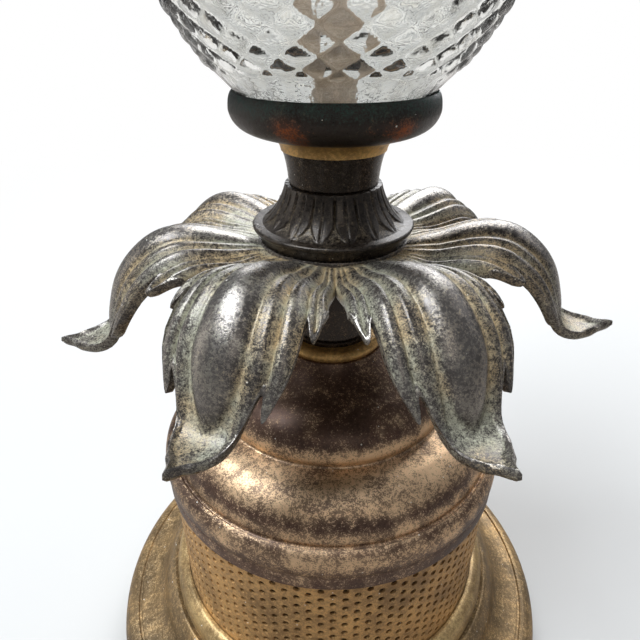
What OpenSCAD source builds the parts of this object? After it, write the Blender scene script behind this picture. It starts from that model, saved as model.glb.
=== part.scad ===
// Table lamp: spun base, perforated drum, bell cover, cast leaf crown, diamond point glass, socket and harp.
// The origin is the centre of the underside of the felt pad. +Z is up, and -Y is the front of the lamp.

/* [Base] */
// Radius of the base at its widest
base_r = 97; // [92:0.5:110]
// Height of the deck of the base that carries the drum
base_deck_z = 39.6; // [36:0.2:50]
// Wall of the spun metal covers
sheet_t = 1.2; // [0.8:0.1:1.6]
// Thickness of the felt pad
felt_t = 1.5; // [1:0.1:3]
// Height of the centre of the cord inlet above the table
inlet_z = 6.3; // [6.2:0.1:6.4]
// Radius of the bore of the cord inlet
inlet_r = 3; // [2:0.1:3]

/* [Drum] */
// Outer radius of the perforated band
band_r = 64.4; // [58:0.2:66]
// Height of the perforated band
band_h = 60.5; // [50:0.5:80]
// Thickness of the perforated sheet
band_t = 0.8; // [0.5:0.1:1.2]
// Number of hole columns round the drum
hole_columns = 100; // [60:2:100]
// Number of holes in each column
hole_rows = 11; // [5:1:11]
// Diameter of a hole
hole_d = 2.3; // [1.2:0.1:2.6]
// Distance between two holes of one column
hole_pitch = 4.6; // [3.6:0.1:4.6]

/* [Bell cover] */
// Height of the bell cover, from the lower edge of its rim to the bead
bell_h = 53.5; // [48:0.5:64]
// Height of the rim that overlaps the drum
rim_h = 15; // [12:0.5:18]

/* [Stem] */
// Radius of the threaded rod that clamps the lamp together
rod_r = 4.85; // [4:0.05:5.2]
// Radius of the wire passage in the rod
rod_bore_r = 3.2; // [2:0.1:3.4]
// Height of the sleeve between the bell cover and the leaf crown
sleeve_h = 32; // [26:0.5:44]
// Height of the leaf collar
collar_h = 17.5; // [14:0.5:24]
// Height of the neck above the leaf collar
neck_h = 10.4; // [8:0.2:18]

/* [Leaf crown] */
// Number of leaves
leaf_count = 7; // [7:1:7]
// Wall of the leaf casting
leaf_t = 2.2; // [1.6:0.1:3]
// Height of the broad middle rib of a leaf
leaf_rib = 2.8; // [1:0.1:3.6]

/* [Glass] */
// Greatest radius of the glass body
glass_r = 62.6; // [54:0.2:72]
// Height of the glass body between its two fitter rings
glass_h = 194; // [170:1:230]
// Radius of the foot and of the mouth of the glass
glass_foot_r = 29.4; // [26:0.2:31]
// Wall of the glass between the diamond points
glass_t = 4; // [3:0.1:5]
// Number of diamond points round the glass
diamonds = 26; // [16:1:30]

/* [Socket and harp] */
// Radius of the inside of the lamp socket's screw shell
screw_r = 13.3; // [13.2:0.05:13.6]
// Length of the screw shell
screw_h = 22; // [18:0.5:26]
// Half the distance between the two legs of the harp at the saddle
harp_leg_x = 34; // [30:0.5:40]
// Half the width of the harp at its widest
harp_half_w = 56; // [46:0.5:64]
// Height of the harp above the saddle
harp_h = 229; // [178:1:254]
// Radius of the harp wire
wire_r = 1.8; // [1.4:0.1:2.2]
// Height of the locking ferrules
ferrule_h = 14; // [10:0.5:16]
// Radius of the switch knob
knob_r = 5.2; // [4:0.1:6.5]

/* [Hidden] */

round_fn = 96;
small_fn = 48;
fit_gap = 0.3;
run_gap = 0.05;
joint_gap = 0.1;

// Heights of the stack, from the table up
base_bottom_z = felt_t;
band_z = base_deck_z + 3.2;
band_top_z = band_z + band_h;
rim_z = band_top_z - 2.8;
bell_top_z = rim_z + bell_h;
bead_h = 4.4;
sleeve_z = bell_top_z + bead_h;
crown_z = sleeve_z + sleeve_h;
hub_h = 4;
collar_z = crown_z + hub_h;
neck_z = collar_z + collar_h;
cove_h = 4.2;
cove_z = neck_z + neck_h;
cup_h = 12.7;
cup_z = cove_z + cove_h;
cup_top_z = cup_z + cup_h;
glass_sink = 3;
gasket_t = 0.8;
glass_z = cup_top_z - glass_sink;
glass_top_z = cup_top_z + glass_h + glass_sink;
glass_mid_z = (glass_z + glass_top_z) / 2;
upper_cup_z = cup_top_z + glass_h;
upper_neck_z = upper_cup_z + cup_h;
upper_neck_h = 18;
saddle_z = upper_neck_z + upper_neck_h;
saddle_t = 1.6;
washer_t = 1.2;
nut_h = 3.2;
socket_z = saddle_z + saddle_t + washer_t + nut_h;
cap_h = 17;
shell_z = socket_z + cap_h - 4;
shell_h = 44;
rod_bottom_z = 4.5;
rod_top_z = socket_z + 6;

// Radii shared by neighbours
rod_hole_r = rod_r + fit_gap;
skirt_r = base_r - 0.8;
bead_r = 18.7;
collar_foot_r = 24;
collar_lip_r = 26.6;
collar_top_r = 15;
neck_r = 14.3;
neck_top_r = 16.1;
cup_foot_r = 19.6;
cup_r = 31.4;
socket_r = 16.8;

// Points of a quadratic curve from a to c, drawn towards b
function bend(a, b, c, n = 8) = [
    for (i = [0 : n]) let (t = i / n) (1 - t) * (1 - t) * a + 2 * t * (1 - t) * b + t * t * c
];

// Points of a circular arc about c, from angle a0 to angle a1
function arc(c, r, a0, a1, n = 8) = [
    for (i = [0 : n]) let (a = a0 + (a1 - a0) * i / n) c + r * [cos(a), sin(a)]
];

// The list in reverse order
function backwards(list) = [for (i = [len(list) - 1 : -1 : 0]) list[i]];

// Every point of a path moved sideways by d, to the right of the way the path runs
function beside(path, d) = [
    for (i = [0 : len(path) - 1])
        let (a = path[max(i - 1, 0)], b = path[min(i + 1, len(path) - 1)], v = b - a)
        path[i] + d / norm(v) * [v[1], -v[0]]
];

module turned(points, fn = round_fn) {
    rotate_extrude($fn = fn) polygon(points);
}

module tube(z, h, r_out, r_in, fn = round_fn) {
    translate([0, 0, z]) difference() {
        cylinder(r = r_out, h = h, $fn = fn);
        translate([0, 0, -1]) cylinder(r = r_in, h = h + 2, $fn = fn);
    }
}

module hex_nut(z, h, flats, r_in) {
    translate([0, 0, z]) difference() {
        cylinder(r = flats / sqrt(3), h = h, $fn = 6);
        translate([0, 0, -1]) cylinder(r = r_in, h = h + 2, $fn = small_fn);
    }
}

// Felt pad under the rim of the base
module felt_pad() {
    color("darkolivegreen") tube(0, felt_t, base_r - 1.4, 30);
}

// Base: a spun dish with a round rim band, an ogee flank and a flat deck
rim_band_z = base_bottom_z + 14;
dish_r = base_r - 6.9;
dish_z = rim_band_z + 9.4;
flank_r = 71.5;
base_outer = concat(
    [[skirt_r, base_bottom_z], [skirt_r, base_bottom_z + 9.6]],
    bend([base_r - 0.2, base_bottom_z + 10.2], [base_r, rim_band_z - 2], [base_r, rim_band_z], 3),
    bend([base_r, rim_band_z], [base_r - 0.8, dish_z - 0.6], [dish_r, dish_z], 8),
    [[dish_r - 0.5, dish_z - 0.7], [dish_r - 1.3, dish_z - 0.6]],
    bend([dish_r - 1.6, dish_z - 0.2], [dish_r - 12, dish_z + 1.4], [flank_r + 5, base_deck_z - 6.4], 8),
    bend([flank_r + 4.6, base_deck_z - 5.4], [flank_r + 1.8, base_deck_z + 0.4], [flank_r, base_deck_z + 0.6], 6),
    [[flank_r - 1.2, base_deck_z], [rod_hole_r, base_deck_z]]
);
base_inner = concat(
    [[skirt_r - sheet_t, base_bottom_z], [skirt_r - sheet_t, rim_band_z]],
    bend([skirt_r - sheet_t, rim_band_z], [skirt_r - sheet_t, dish_z - 2.6], [dish_r - 1, dish_z - 2.6], 6),
    bend([dish_r - 1.6, dish_z - 2.6], [dish_r - 12, dish_z - 0.6], [flank_r + 4, base_deck_z - 7.4], 8),
    bend([flank_r + 3.4, base_deck_z - 6], [flank_r + 1.4, base_deck_z - sheet_t], [flank_r - 2, base_deck_z - sheet_t], 6),
    [[rod_hole_r, base_deck_z - sheet_t]]
);
bushing_r = inlet_r + 1;
module base_shell() {
    color("#7a6236") difference() {
        turned(concat(base_outer, backwards(base_inner)));
        translate([0, base_r, inlet_z]) rotate([90, 0, 0])
            cylinder(r = bushing_r + joint_gap, h = 10, $fn = small_fn);
    }
}

// Cast weight that keeps the tall lamp upright, with a pocket for the nut and a channel for the wire
weight_r = 80;
weight_z = base_bottom_z + 1.5;
weight_h = 13;
pocket_r = 15;
pocket_top_z = weight_z + 11.6;
module base_weight() {
    color("#3c3c3e") difference() {
        union() {
            translate([0, 0, weight_z]) cylinder(r = weight_r, h = weight_h, $fn = round_fn);
            translate([0, 0, weight_z]) cylinder(r = 30, h = base_deck_z - sheet_t - weight_z, $fn = round_fn);
        }
        cylinder(r = rod_hole_r, h = base_deck_z + 1, $fn = small_fn);
        translate([0, 0, weight_z - 1]) cylinder(r = pocket_r, h = pocket_top_z - weight_z + 1, $fn = small_fn);
        translate([-4.5, 0, weight_z - 1]) cube([9, weight_r + 2, 8]);
    }
}

module bottom_washer() {
    color("silver") tube(pocket_top_z - washer_t, washer_t, 12, rod_hole_r, small_fn);
}

module bottom_nut() {
    color("goldenrod") hex_nut(pocket_top_z - washer_t - nut_h - 1.2, nut_h + 1.2, 16, rod_r);
}

// Bush of the wire inlet: a flange outside the skirt, a barrel in the hole and a snap lip inside
module cord_bushing() {
    color("#1c1a18") translate([0, 0, inlet_z]) rotate([-90, 0, 0]) difference() {
        union() {
            translate([0, 0, skirt_r]) cylinder(r = bushing_r + 0.7, h = 0.8, $fn = small_fn);
            translate([0, 0, skirt_r - 5]) cylinder(r = bushing_r, h = 5.2, $fn = small_fn);
            translate([0, 0, skirt_r - 4]) cylinder(r1 = bushing_r, r2 = bushing_r + 0.5, h = 2, $fn = small_fn);
        }
        translate([0, 0, skirt_r - 6]) cylinder(r = inlet_r, h = 8, $fn = small_fn);
    }
}

// Golden ring that the drum stands in
ring_r = band_r + 5.8;
ring_h = 9.4;
module base_ring() {
    color("#8d7440") turned(concat(
        [[band_r - 3, base_deck_z], [ring_r - 0.8, base_deck_z]],
        bend([ring_r, base_deck_z + 1], [ring_r + 0.1, base_deck_z + ring_h - 1.2], [band_r + 1.4, base_deck_z + ring_h], 8),
        [[band_r + fit_gap, base_deck_z + ring_h - 0.2], [band_r + fit_gap, band_z], [band_r - 3, band_z]]
    ));
}

// Perforated sheet rolled to a drum: one flat for each column of holes, the columns staggered
module perforated_band() {
    function rolled(r) = [
        for (i = [0 : hole_columns - 1])
            let (a = (i + 0.5) * 360 / hole_columns) r / cos(180 / hole_columns) * [cos(a), sin(a)]
    ];
    first_hole_z = band_z + 8.5;
    color("#8b6e42") difference() {
        translate([0, 0, band_z]) linear_extrude(band_h) difference() {
            polygon(rolled(band_r * cos(180 / hole_columns)));
            polygon(rolled(band_r * cos(180 / hole_columns) - band_t));
        }
        for (column = [0 : hole_columns - 1])
            for (row = [0 : hole_rows - 1])
                rotate([0, 0, column * 360 / hole_columns])
                translate([band_r, 0, first_hole_z + (row + (column % 2) / 2) * hole_pitch])
                rotate([0, 90, 0]) cylinder(d = hole_d, h = 4, center = true, $fn = 16);
    }
}

// Bell cover: two ogee swellings above a rolled rim that overlaps the drum
bell_r = band_r + 1.7;
groove_r = bell_r - 4.4;
groove_z = rim_z + rim_h;
step_r = groove_r - 17.8;
step_z = groove_z + 15.9;
bell_outer = concat(
    [[band_r + fit_gap + 1, rim_z], [band_r + fit_gap + 1, rim_z + 4.8], [bell_r - 0.5, rim_z + 5.4]],
    bend([bell_r - 0.2, rim_z + 6.4], [bell_r + 0.6, groove_z - 1.4], [groove_r + 1.4, groove_z + 0.4], 8),
    [[groove_r + 0.2, groove_z - 0.4], [groove_r, groove_z + 1]],
    bend([groove_r, groove_z + 1.4], [groove_r - 1.6, groove_z + 11], [step_r + 8, step_z - 2.2], 9),
    bend([step_r + 7.4, step_z - 2], [step_r + 2.4, step_z - 1], [step_r + 0.4, step_z - 0.8], 3),
    [[step_r - 0.4, step_z], [step_r + 0.3, step_z + 1]],
    bend([step_r + 0.3, step_z + 1.6], [step_r + 0.2, step_z + 11], [step_r - 11.5, step_z + 14.4], 8),
    bend([step_r - 12, step_z + 14.5], [bead_r + 3, step_z + 17.2], [bead_r - 0.2, bell_top_z], 6),
    [[rod_hole_r, bell_top_z]]
);
bell_inner = concat(
    [[band_r + fit_gap, rim_z], [band_r + fit_gap, band_top_z + 0.2], [band_r - 1.6, band_top_z + 0.2]],
    bend([groove_r - 1.2, groove_z - 1.6], [groove_r - 2.8, groove_z + 9.4], [step_r + 7, step_z - 3.6], 8),
    bend([step_r + 6.6, step_z - 3.8], [step_r - 1.6, step_z - 3], [step_r - 1.4, step_z + 1], 5),
    bend([step_r - 1.4, step_z + 1.6], [step_r - 1.2, step_z + 9.4], [step_r - 12, step_z + 13], 8),
    bend([step_r - 12.4, step_z + 13.1], [bead_r + 3, step_z + 15.6], [bead_r - 1.6, bell_top_z - sheet_t], 6),
    [[rod_hole_r, bell_top_z - sheet_t]]
);
module bell_cover() {
    color("#4a3a30") turned(concat(bell_outer, backwards(bell_inner)));
}

module bead_ring() {
    color("#a5813f") turned(concat(
        [[rod_hole_r, bell_top_z], [bead_r - 1.2, bell_top_z]],
        arc([bead_r - bead_h / 2, bell_top_z + bead_h / 2], bead_h / 2, -60, 90, 10),
        [[rod_hole_r, sleeve_z]]
    ));
}

// Dark waisted sleeve that lifts the leaf crown off the bell
sleeve_r = 13.6;
module spindle_sleeve() {
    color("#2b1f1a") turned(concat(
        [[rod_hole_r, sleeve_z], [sleeve_r + 1, sleeve_z], [sleeve_r + 1, sleeve_z + 1.6]],
        bend([sleeve_r, sleeve_z + 2], [sleeve_r - 1.4, crown_z - 12], [sleeve_r + 4.4, crown_z - 1.6], 8),
        [[sleeve_r + 4.4, crown_z], [rod_hole_r, crown_z]]
    ));
}

// Leaf crown: one casting. Along a leaf runs a path that turns by leaf_turn, in degrees above level at each
// distance from the root. Across it lie fingers: each has a share of the half width, a length and a height.
leaf_root_r = 22;
crown_hub_r = collar_foot_r + 0.8;
leaf_turn = [[0, 10], [14, 14], [26, 5], [38, -36], [48, -51], [58, -73], [70, -70], [76, -27], [82, 0], [91, 13]];
leaf_fan = [[0, 1], [14.5, 1], [27, 0.89], [40, 0.89], [55, 0.84], [66, 0.7], [91, 0.41]];
leaf_arch = [[0, 0.003], [14.5, 0.018], [30, 0.014], [44, 0.0085], [66, 0.003], [91, 0.004]];
fingers = [
    [0, 91, 1], [0.1, 87, 0.94], [0.2, 85.5, 0.62], [0.29, 82.5, 0.1], [0.36, 80, 0.3], [0.43, 70.5, 0.4],
    [0.49, 63.5, 0.2], [0.53, 60, 0], [0.58, 66, 0.36], [0.63, 69.5, 0.44], [0.73, 57, 0.2],
    [0.77, 37.5, 0], [0.82, 44.5, 0.36], [0.87, 48, 0.1], [0.93, 41, 0.4], [1, 36, 0.05]
];
// The leaves of an old casting are bent unequally. Anticlockwise from the right front leaf, each one rises
// (mm in 40) outside lift_r and swings (degrees) outside swing_r by its own amount.
lift_r = 36;
swing_r = 45;
leaf_lift = [4.5, 5.5, 0, 0, -4, 0, 5];
leaf_swing = [0, 1.5, 3.5, 0, 2, -3, 1];
leaf_rows = 10;
notch_row = 4;
leaf_len = fingers[0][1];
finger_count = len(fingers);
leaf_cols = 2 * finger_count - 1;
// Running sum of unit steps along the path, as pairs of radius and height
leaf_path = [
    for (s = 0, p = [leaf_root_r, 0]; s <= leaf_len; s = s + 1,
        p = p + [cos(lookup(s - 0.5, leaf_turn)), sin(lookup(s - 0.5, leaf_turn))]) p
];
function on_path(s) = let (i = floor(min(s, leaf_len - 1)), f = s - i) (1 - f) * leaf_path[i] + f * leaf_path[i + 1];
// A finger's row, squeezed so that the notch between two leaves falls on a row of its own
function row_share(row) = row <= notch_row ? 0.4 * row / notch_row : 0.4 + 0.6 * (row - notch_row) / (leaf_rows - 1 - notch_row);
function swell(s) = min(1, 0.25 + s / 30);
function nose(s, share) = share > 0.3 ? 1 : s < 66 ? 1 : max(-0.25, 1 - (s - 66) / 6);
function leaf_point(k, col, row, deep) =
    let (
        side = col - (finger_count - 1),
        f = fingers[abs(side)],
        s = f[1] * row_share(row),
        p = on_path(s),
        turn = lookup(s, leaf_turn),
        lean = s < 14.5 ? 0 : min(72, -lookup(min(s, 70), leaf_turn) * min(1, (s - 14.5) / 20)),
        half = lookup(s, leaf_fan) * 180 / leaf_count,
        y = p[0] * sin(f[0] * half),
        angle = sign(side) * f[0] * half + leaf_swing[k] * min(1, max(0, p[0] - swing_r) / 20),
        drop = lookup(s, leaf_arch) * y * y,
        lip = row == leaf_rows - 1 ? 0.6 : 0,
        rise = deep ? -leaf_t : leaf_rib * f[2] * swell(s) * nose(s, f[0]) + lip,
        flat_in = min(1, s / 8),
        up = rise * (deep ? 1 : flat_in),
        radius = p[0] - drop * sin(max(lean, 0)) - up * sin(turn) * flat_in,
        height = p[1] + leaf_lift[k] * max(0, p[0] - lift_r) / 40 - drop * cos(max(lean, 0)) + up * cos(turn)
    )
    [radius * cos(angle), radius * sin(angle), height];
module leaf_crown() {
    crown_top_z = crown_z + hub_h - 1.2;
    side_points = leaf_cols * leaf_rows;
    leaf_points = 2 * side_points;
    function spin(p, k) = let (a = -90 + (k + 0.5) * 360 / leaf_count)
        [p[0] * cos(a) - p[1] * sin(a), p[0] * sin(a) + p[1] * cos(a), p[2] + crown_top_z];
    // Up to the notch row the last column of a leaf is the first column of the next one
    function at(k, col, row, deep) =
        let (shared = col == leaf_cols - 1 && row <= notch_row)
        ((shared ? k + 1 : k) % leaf_count) * leaf_points + (deep ? side_points : 0)
            + row * leaf_cols + (shared ? 0 : col);
    points = [
        for (k = [0 : leaf_count - 1], deep = [false, true], row = [0 : leaf_rows - 1], col = [0 : leaf_cols - 1])
            spin(leaf_point(k, col, row, deep), k)
    ];
    // Two triangles for each patch of the grid; the underside has them the other way round
    faces = [
        for (k = [0 : leaf_count - 1]) each concat(
            [for (row = [0 : leaf_rows - 2], col = [0 : leaf_cols - 2]) each [
                [at(k, col, row, false), at(k, col + 1, row + 1, false), at(k, col, row + 1, false)],
                [at(k, col, row, false), at(k, col + 1, row, false), at(k, col + 1, row + 1, false)],
                [at(k, col, row, true), at(k, col, row + 1, true), at(k, col + 1, row + 1, true)],
                [at(k, col, row, true), at(k, col + 1, row + 1, true), at(k, col + 1, row, true)]
            ]],
            [for (col = [0 : leaf_cols - 2]) each [
                [at(k, col, 0, false), at(k, col + 1, 0, true), at(k, col + 1, 0, false)],
                [at(k, col, 0, false), at(k, col, 0, true), at(k, col + 1, 0, true)],
                [at(k, col, leaf_rows - 1, false), at(k, col + 1, leaf_rows - 1, false), at(k, col + 1, leaf_rows - 1, true)],
                [at(k, col, leaf_rows - 1, false), at(k, col + 1, leaf_rows - 1, true), at(k, col, leaf_rows - 1, true)]
            ]],
            [for (row = [notch_row : leaf_rows - 2]) each [
                [at(k, 0, row, false), at(k, 0, row + 1, true), at(k, 0, row, true)],
                [at(k, 0, row, false), at(k, 0, row + 1, false), at(k, 0, row + 1, true)],
                [at(k, leaf_cols - 1, row, false), at(k, leaf_cols - 1, row, true), at(k, leaf_cols - 1, row + 1, true)],
                [at(k, leaf_cols - 1, row, false), at(k, leaf_cols - 1, row + 1, true), at(k, leaf_cols - 1, row + 1, false)]
            ]]
        )
    ];
    color("#2f2925") union() {
        polyhedron(points, faces, convexity = 8);
        tube(crown_z, hub_h, crown_hub_r, rod_hole_r);
    }
}

// Leaf collar: a flared casting with grooves between upright leaf reliefs
collar_leaves = 16;
module leaf_collar() {
    lip_z = collar_z + 4;
    flare_r = 21.5;
    flare_c = [collar_top_r + flare_r, collar_z + collar_h + 4.6];
    color("#1f1713") difference() {
        turned(concat(
            [[rod_hole_r, collar_z], [collar_foot_r, collar_z], [collar_foot_r, lip_z - 0.8]],
            bend([collar_lip_r - 0.6, lip_z - 0.4], [collar_lip_r + 0.3, lip_z + 0.6], [collar_lip_r - 0.8, lip_z + 1.2], 4),
            arc(flare_c, flare_r, 180 + 52, 180 + 13, 10),
            [[collar_top_r + 0.4, neck_z], [rod_hole_r, neck_z]]
        ));
        for (k = [0 : collar_leaves - 1])
            rotate([0, 0, k * 360 / collar_leaves])
            translate([flare_c[0], 0, flare_c[1]])
            rotate([90, 0, 0]) rotate_extrude($fn = small_fn) translate([flare_r, 0]) circle(r = 0.7, $fn = 16);
    }
}

module neck_cone() {
    color("#231a16") turned(concat(
        [[rod_hole_r, neck_z], [neck_r, neck_z]],
        bend([neck_r, neck_z + 0.4], [neck_r + 0.5, neck_z + neck_h * 0.7], [neck_top_r, cove_z], 6),
        [[rod_hole_r, cove_z]]
    ));
}

module gold_cove() {
    color("#8a6a30") turned(concat(
        [[rod_hole_r, cove_z]],
        bend([neck_top_r + 0.3, cove_z], [neck_top_r + 0.6, cove_z + cove_h * 0.6], [cup_foot_r - 0.2, cup_z], 6),
        [[rod_hole_r, cup_z]]
    ));
}

// Fitter ring: a cup with a fat rounded rim that holds the end of the glass
function cup_points() = concat(
    [[rod_hole_r, 0], [cup_foot_r, 0]],
    bend([cup_foot_r + 0.6, 0.3], [cup_r - 1, 1.2], [cup_r, cup_h - 5], 8),
    bend([cup_r, cup_h - 4.6], [cup_r - 0.1, cup_h - 1], [glass_foot_r + fit_gap + 0.4, cup_h], 5),
    [
        [glass_foot_r + fit_gap, cup_h - 0.4], [glass_foot_r + fit_gap, cup_h - glass_sink - gasket_t],
        [glass_foot_r - 5, cup_h - glass_sink - gasket_t], [glass_foot_r - 5, 3], [rod_hole_r, 3]
    ]
);
module lower_cup() {
    color("#24302c") translate([0, 0, cup_z]) turned(cup_points());
}

module upper_cup() {
    color("#24302c") translate([0, 0, upper_neck_z]) mirror([0, 0, 1]) turned(cup_points());
}

module lower_gasket() {
    color("#8a6f55") tube(glass_z - gasket_t, gasket_t, glass_foot_r, glass_foot_r - 4.6);
}

module upper_gasket() {
    color("#8a6f55") tube(glass_top_z, gasket_t, glass_foot_r, glass_foot_r - 4.6);
}

// Glass body: a pressed ovoid whose outside is a lattice of diamond points. The rows lie closer together
// where the body is narrow, so that all the diamonds keep one shape.
glass_band = 5.3;
diamond_aspect = 0.8;
diamond_rise = 0.2;
foot_slope = sqrt(1 - pow(glass_foot_r / glass_r, 2));
glass_b = (glass_h / 2) / foot_slope;
function glass_radius(z) = glass_r * sqrt(1 - pow(min(abs(z - glass_mid_z) / glass_b, 0.999), 2));
function glass_slope(z) = let (h = 0.1) (glass_radius(z + h) - glass_radius(z - h)) / (2 * h);
lattice_z0 = cup_top_z + glass_band;
lattice_half = glass_mid_z - lattice_z0;
// Heights of the lattice rows below the middle: each step is a fixed share of the radius there
function lattice_step(z) = glass_radius(z) * diamond_aspect * 180 / diamonds * PI / 180 / sqrt(1 + pow(glass_slope(z), 2));
lattice_down = [
    for (z = glass_mid_z; z > lattice_z0; z = z - lattice_step(z)) glass_mid_z - z
];
lattice_stretch = lattice_half / lattice_down[len(lattice_down) - 1];
lattice_z = concat(
    [for (i = [len(lattice_down) - 1 : -1 : 1]) glass_mid_z - lattice_down[i] * lattice_stretch],
    [for (d = lattice_down) glass_mid_z + d * lattice_stretch]
);
inner_rings = 8;
module glass_body() {
    n = diamonds;
    m = len(lattice_z);
    step = 360 / n;
    function ring_at(r, z, count, shift) = [
        for (i = [0 : count - 1]) let (a = (i + shift) * 360 / count) [r * cos(a), r * sin(a), z]
    ];
    // Corners of the diamonds, then their points, then the plain bands, then the inside
    corners = [for (j = [0 : m - 1]) each ring_at(glass_radius(lattice_z[j]), lattice_z[j], n, (j % 2) / 2)];
    tips = [
        for (j = [0 : m - 1])
            let (
                r = glass_radius(lattice_z[j]),
                edge = j == 0 || j == m - 1,
                rise = edge ? 0 : diamond_rise * r * PI / n,
                slope = glass_slope(lattice_z[j]),
                l = sqrt(1 + slope * slope)
            )
            each ring_at(r + rise / l, lattice_z[j] - rise * slope / l, n, (j % 2) / 2 + 0.5)
    ];
    band = [
        ring_at(glass_foot_r, glass_z, 2 * n, 0),
        ring_at(glass_foot_r, cup_top_z, 2 * n, 0)
    ];
    top_band = [
        ring_at(glass_foot_r, upper_cup_z, 2 * n, 0),
        ring_at(glass_foot_r, glass_top_z, 2 * n, 0)
    ];
    inner = [
        for (i = [0 : inner_rings])
            let (
                u = cos(180 * i / inner_rings),
                z = glass_mid_z + u * lattice_half,
                r = glass_radius(z) - glass_t * sqrt(1 + pow(glass_slope(z), 2))
            )
            ring_at(max(r, glass_foot_r - glass_t), z, 2 * n, 0)
    ];
    rings = concat(
        [ring_at(glass_foot_r - glass_t, glass_top_z, 2 * n, 0)], inner,
        [ring_at(glass_foot_r - glass_t, glass_z, 2 * n, 0)], band
    );
    tip0 = n * m;
    ring0 = 2 * n * m;
    top0 = ring0 + 2 * n * len(rings);
    points = concat(corners, tips, [for (r = rings) each r], [for (r = top_band) each r]);
    function corner(j, i) = j * n + (i + n) % n;
    function tip(j, i) = tip0 + j * n + (i + n) % n;
    function ring(k, i) = (k < len(rings) ? ring0 + k * 2 * n : top0 + (k - len(rings)) * 2 * n) + (i + 2 * n) % (2 * n);
    // The rim of the lattice: corners and mid points in turn
    function edge(j, i) = let (q = i - (j % 2)) q % 2 == 0 ? corner(j, q / 2) : tip(j, (q - 1) / 2);
    function strip(a, b) = [for (i = [0 : 2 * n - 1]) each [[a(i), b(i), b(i + 1)], [a(i), b(i + 1), a(i + 1)]]];
    diamond_faces = [
        for (j = [0 : m - 1], i = [0 : n - 1])
            let (
                left = corner(j, i), right = corner(j, i + 1), peak = tip(j, i),
                up = j < m - 1 ? corner(j + 1, i + (j % 2)) : -1,
                down = j > 0 ? corner(j - 1, i + (j % 2)) : -1
            )
            each concat(
                up < 0 ? [] : [[left, up, peak], [peak, up, right]],
                down < 0 ? [] : [[left, peak, down], [peak, right, down]]
            )
    ];
    last = len(rings) - 1;
    color("#d9dedd", 0.5) polyhedron(points, concat(
        diamond_faces,
        strip(function (i) ring(last, i), function (i) edge(0, i)),
        strip(function (i) edge(m - 1, i), function (i) ring(last + 1, i)),
        strip(function (i) ring(last + 1, i), function (i) ring(last + 2, i)),
        strip(function (i) ring(last + 2, i), function (i) ring(0, i)),
        [for (k = [0 : last - 1]) each strip(function (i) ring(k, i), function (i) ring(k + 1, i))]
    ), convexity = 6);
}

// Plated tube through the glass, seen between the diamond points
centre_tube_r = 6.85;
module centre_tube() {
    color("#9a9488") tube(cup_z + 3, upper_neck_z - cup_z - 6, centre_tube_r, rod_hole_r, small_fn);
}

module threaded_rod() {
    color("#a8a296") tube(rod_bottom_z, rod_top_z - rod_bottom_z, rod_r, rod_bore_r, small_fn);
}

module upper_neck() {
    color("#2b1f1a") turned(concat(
        [[rod_hole_r, upper_neck_z], [cup_foot_r - 0.4, upper_neck_z], [cup_foot_r - 0.4, upper_neck_z + 1.4]],
        bend([cup_foot_r - 2, upper_neck_z + 2], [neck_r - 4, upper_neck_z + 4], [neck_r - 5, upper_neck_z + 10], 7),
        bend([neck_r - 5, upper_neck_z + 10.4], [neck_r - 4.6, saddle_z - 3.6], [neck_r - 1, saddle_z - 2.4], 5),
        [[neck_r - 1, saddle_z], [rod_hole_r, saddle_z]]
    ));
}

// Harp saddle: a strip bent to a U, whose arms end in narrow tongues
saddle_w = 11;
tongue_w = 5;
saddle_arm_h = 17;
saddle_arm_z = saddle_z + saddle_arm_h;
tongue_top_z = saddle_arm_z + 7;
saddle_bend_r = 4;
module harp_saddle() {
    arm_x = harp_leg_x - saddle_t / 2;
    color("#b59a5e") difference() {
        union() {
            translate([-arm_x + saddle_bend_r, -saddle_w / 2, saddle_z])
                cube([2 * (arm_x - saddle_bend_r), saddle_w, saddle_t]);
            translate([0, 0, saddle_z]) cylinder(r = saddle_w, h = saddle_t, $fn = small_fn);
            for (side = [0, 1]) mirror([side, 0, 0]) {
                translate([arm_x - saddle_bend_r, saddle_w / 2, saddle_z + saddle_t + saddle_bend_r])
                    rotate([90, 0, 0]) rotate([0, 0, -90]) rotate_extrude(angle = 90, $fn = small_fn)
                    translate([saddle_bend_r, 0]) square([saddle_t, saddle_w]);
                translate([arm_x, -saddle_w / 2, saddle_z + saddle_t + saddle_bend_r])
                    cube([saddle_t, saddle_w, saddle_arm_z - saddle_z - saddle_t - saddle_bend_r]);
                translate([arm_x, -tongue_w / 2, saddle_arm_z - 1]) cube([saddle_t, tongue_w, tongue_top_z - saddle_arm_z + 1]);
            }
        }
        translate([0, 0, saddle_z - 1]) cylinder(r = rod_hole_r, h = saddle_t + 2, $fn = small_fn);
    }
}

module saddle_washer() {
    color("silver") tube(saddle_z + saddle_t, washer_t, 8.5, rod_hole_r, small_fn);
}

module saddle_nut() {
    color("goldenrod") hex_nut(saddle_z + saddle_t + washer_t, nut_h, 14, rod_r);
}

// Socket: cap and shell of thin brass, a paper liner, and a core that holds the screw shell and the contact
brass_t = 0.6;
cap_hub_r = 7.5;
module socket_cap() {
    color("#b08d4c") turned([
        [rod_r, socket_z], [cap_hub_r, socket_z], [cap_hub_r, socket_z + 3], [cap_hub_r + 4, socket_z + 4],
        [socket_r - 1.6, socket_z + 8], [socket_r, socket_z + 12], [socket_r, shell_z],
        [socket_r - brass_t, shell_z], [socket_r - brass_t, socket_z + 12.2],
        [socket_r - 2.2, socket_z + 8.6], [cap_hub_r + 3.6, socket_z + 4.8], [cap_hub_r - 1, socket_z + 4],
        [cap_hub_r - 1, socket_z + 7], [rod_r, socket_z + 7]
    ], small_fn);
}

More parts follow.
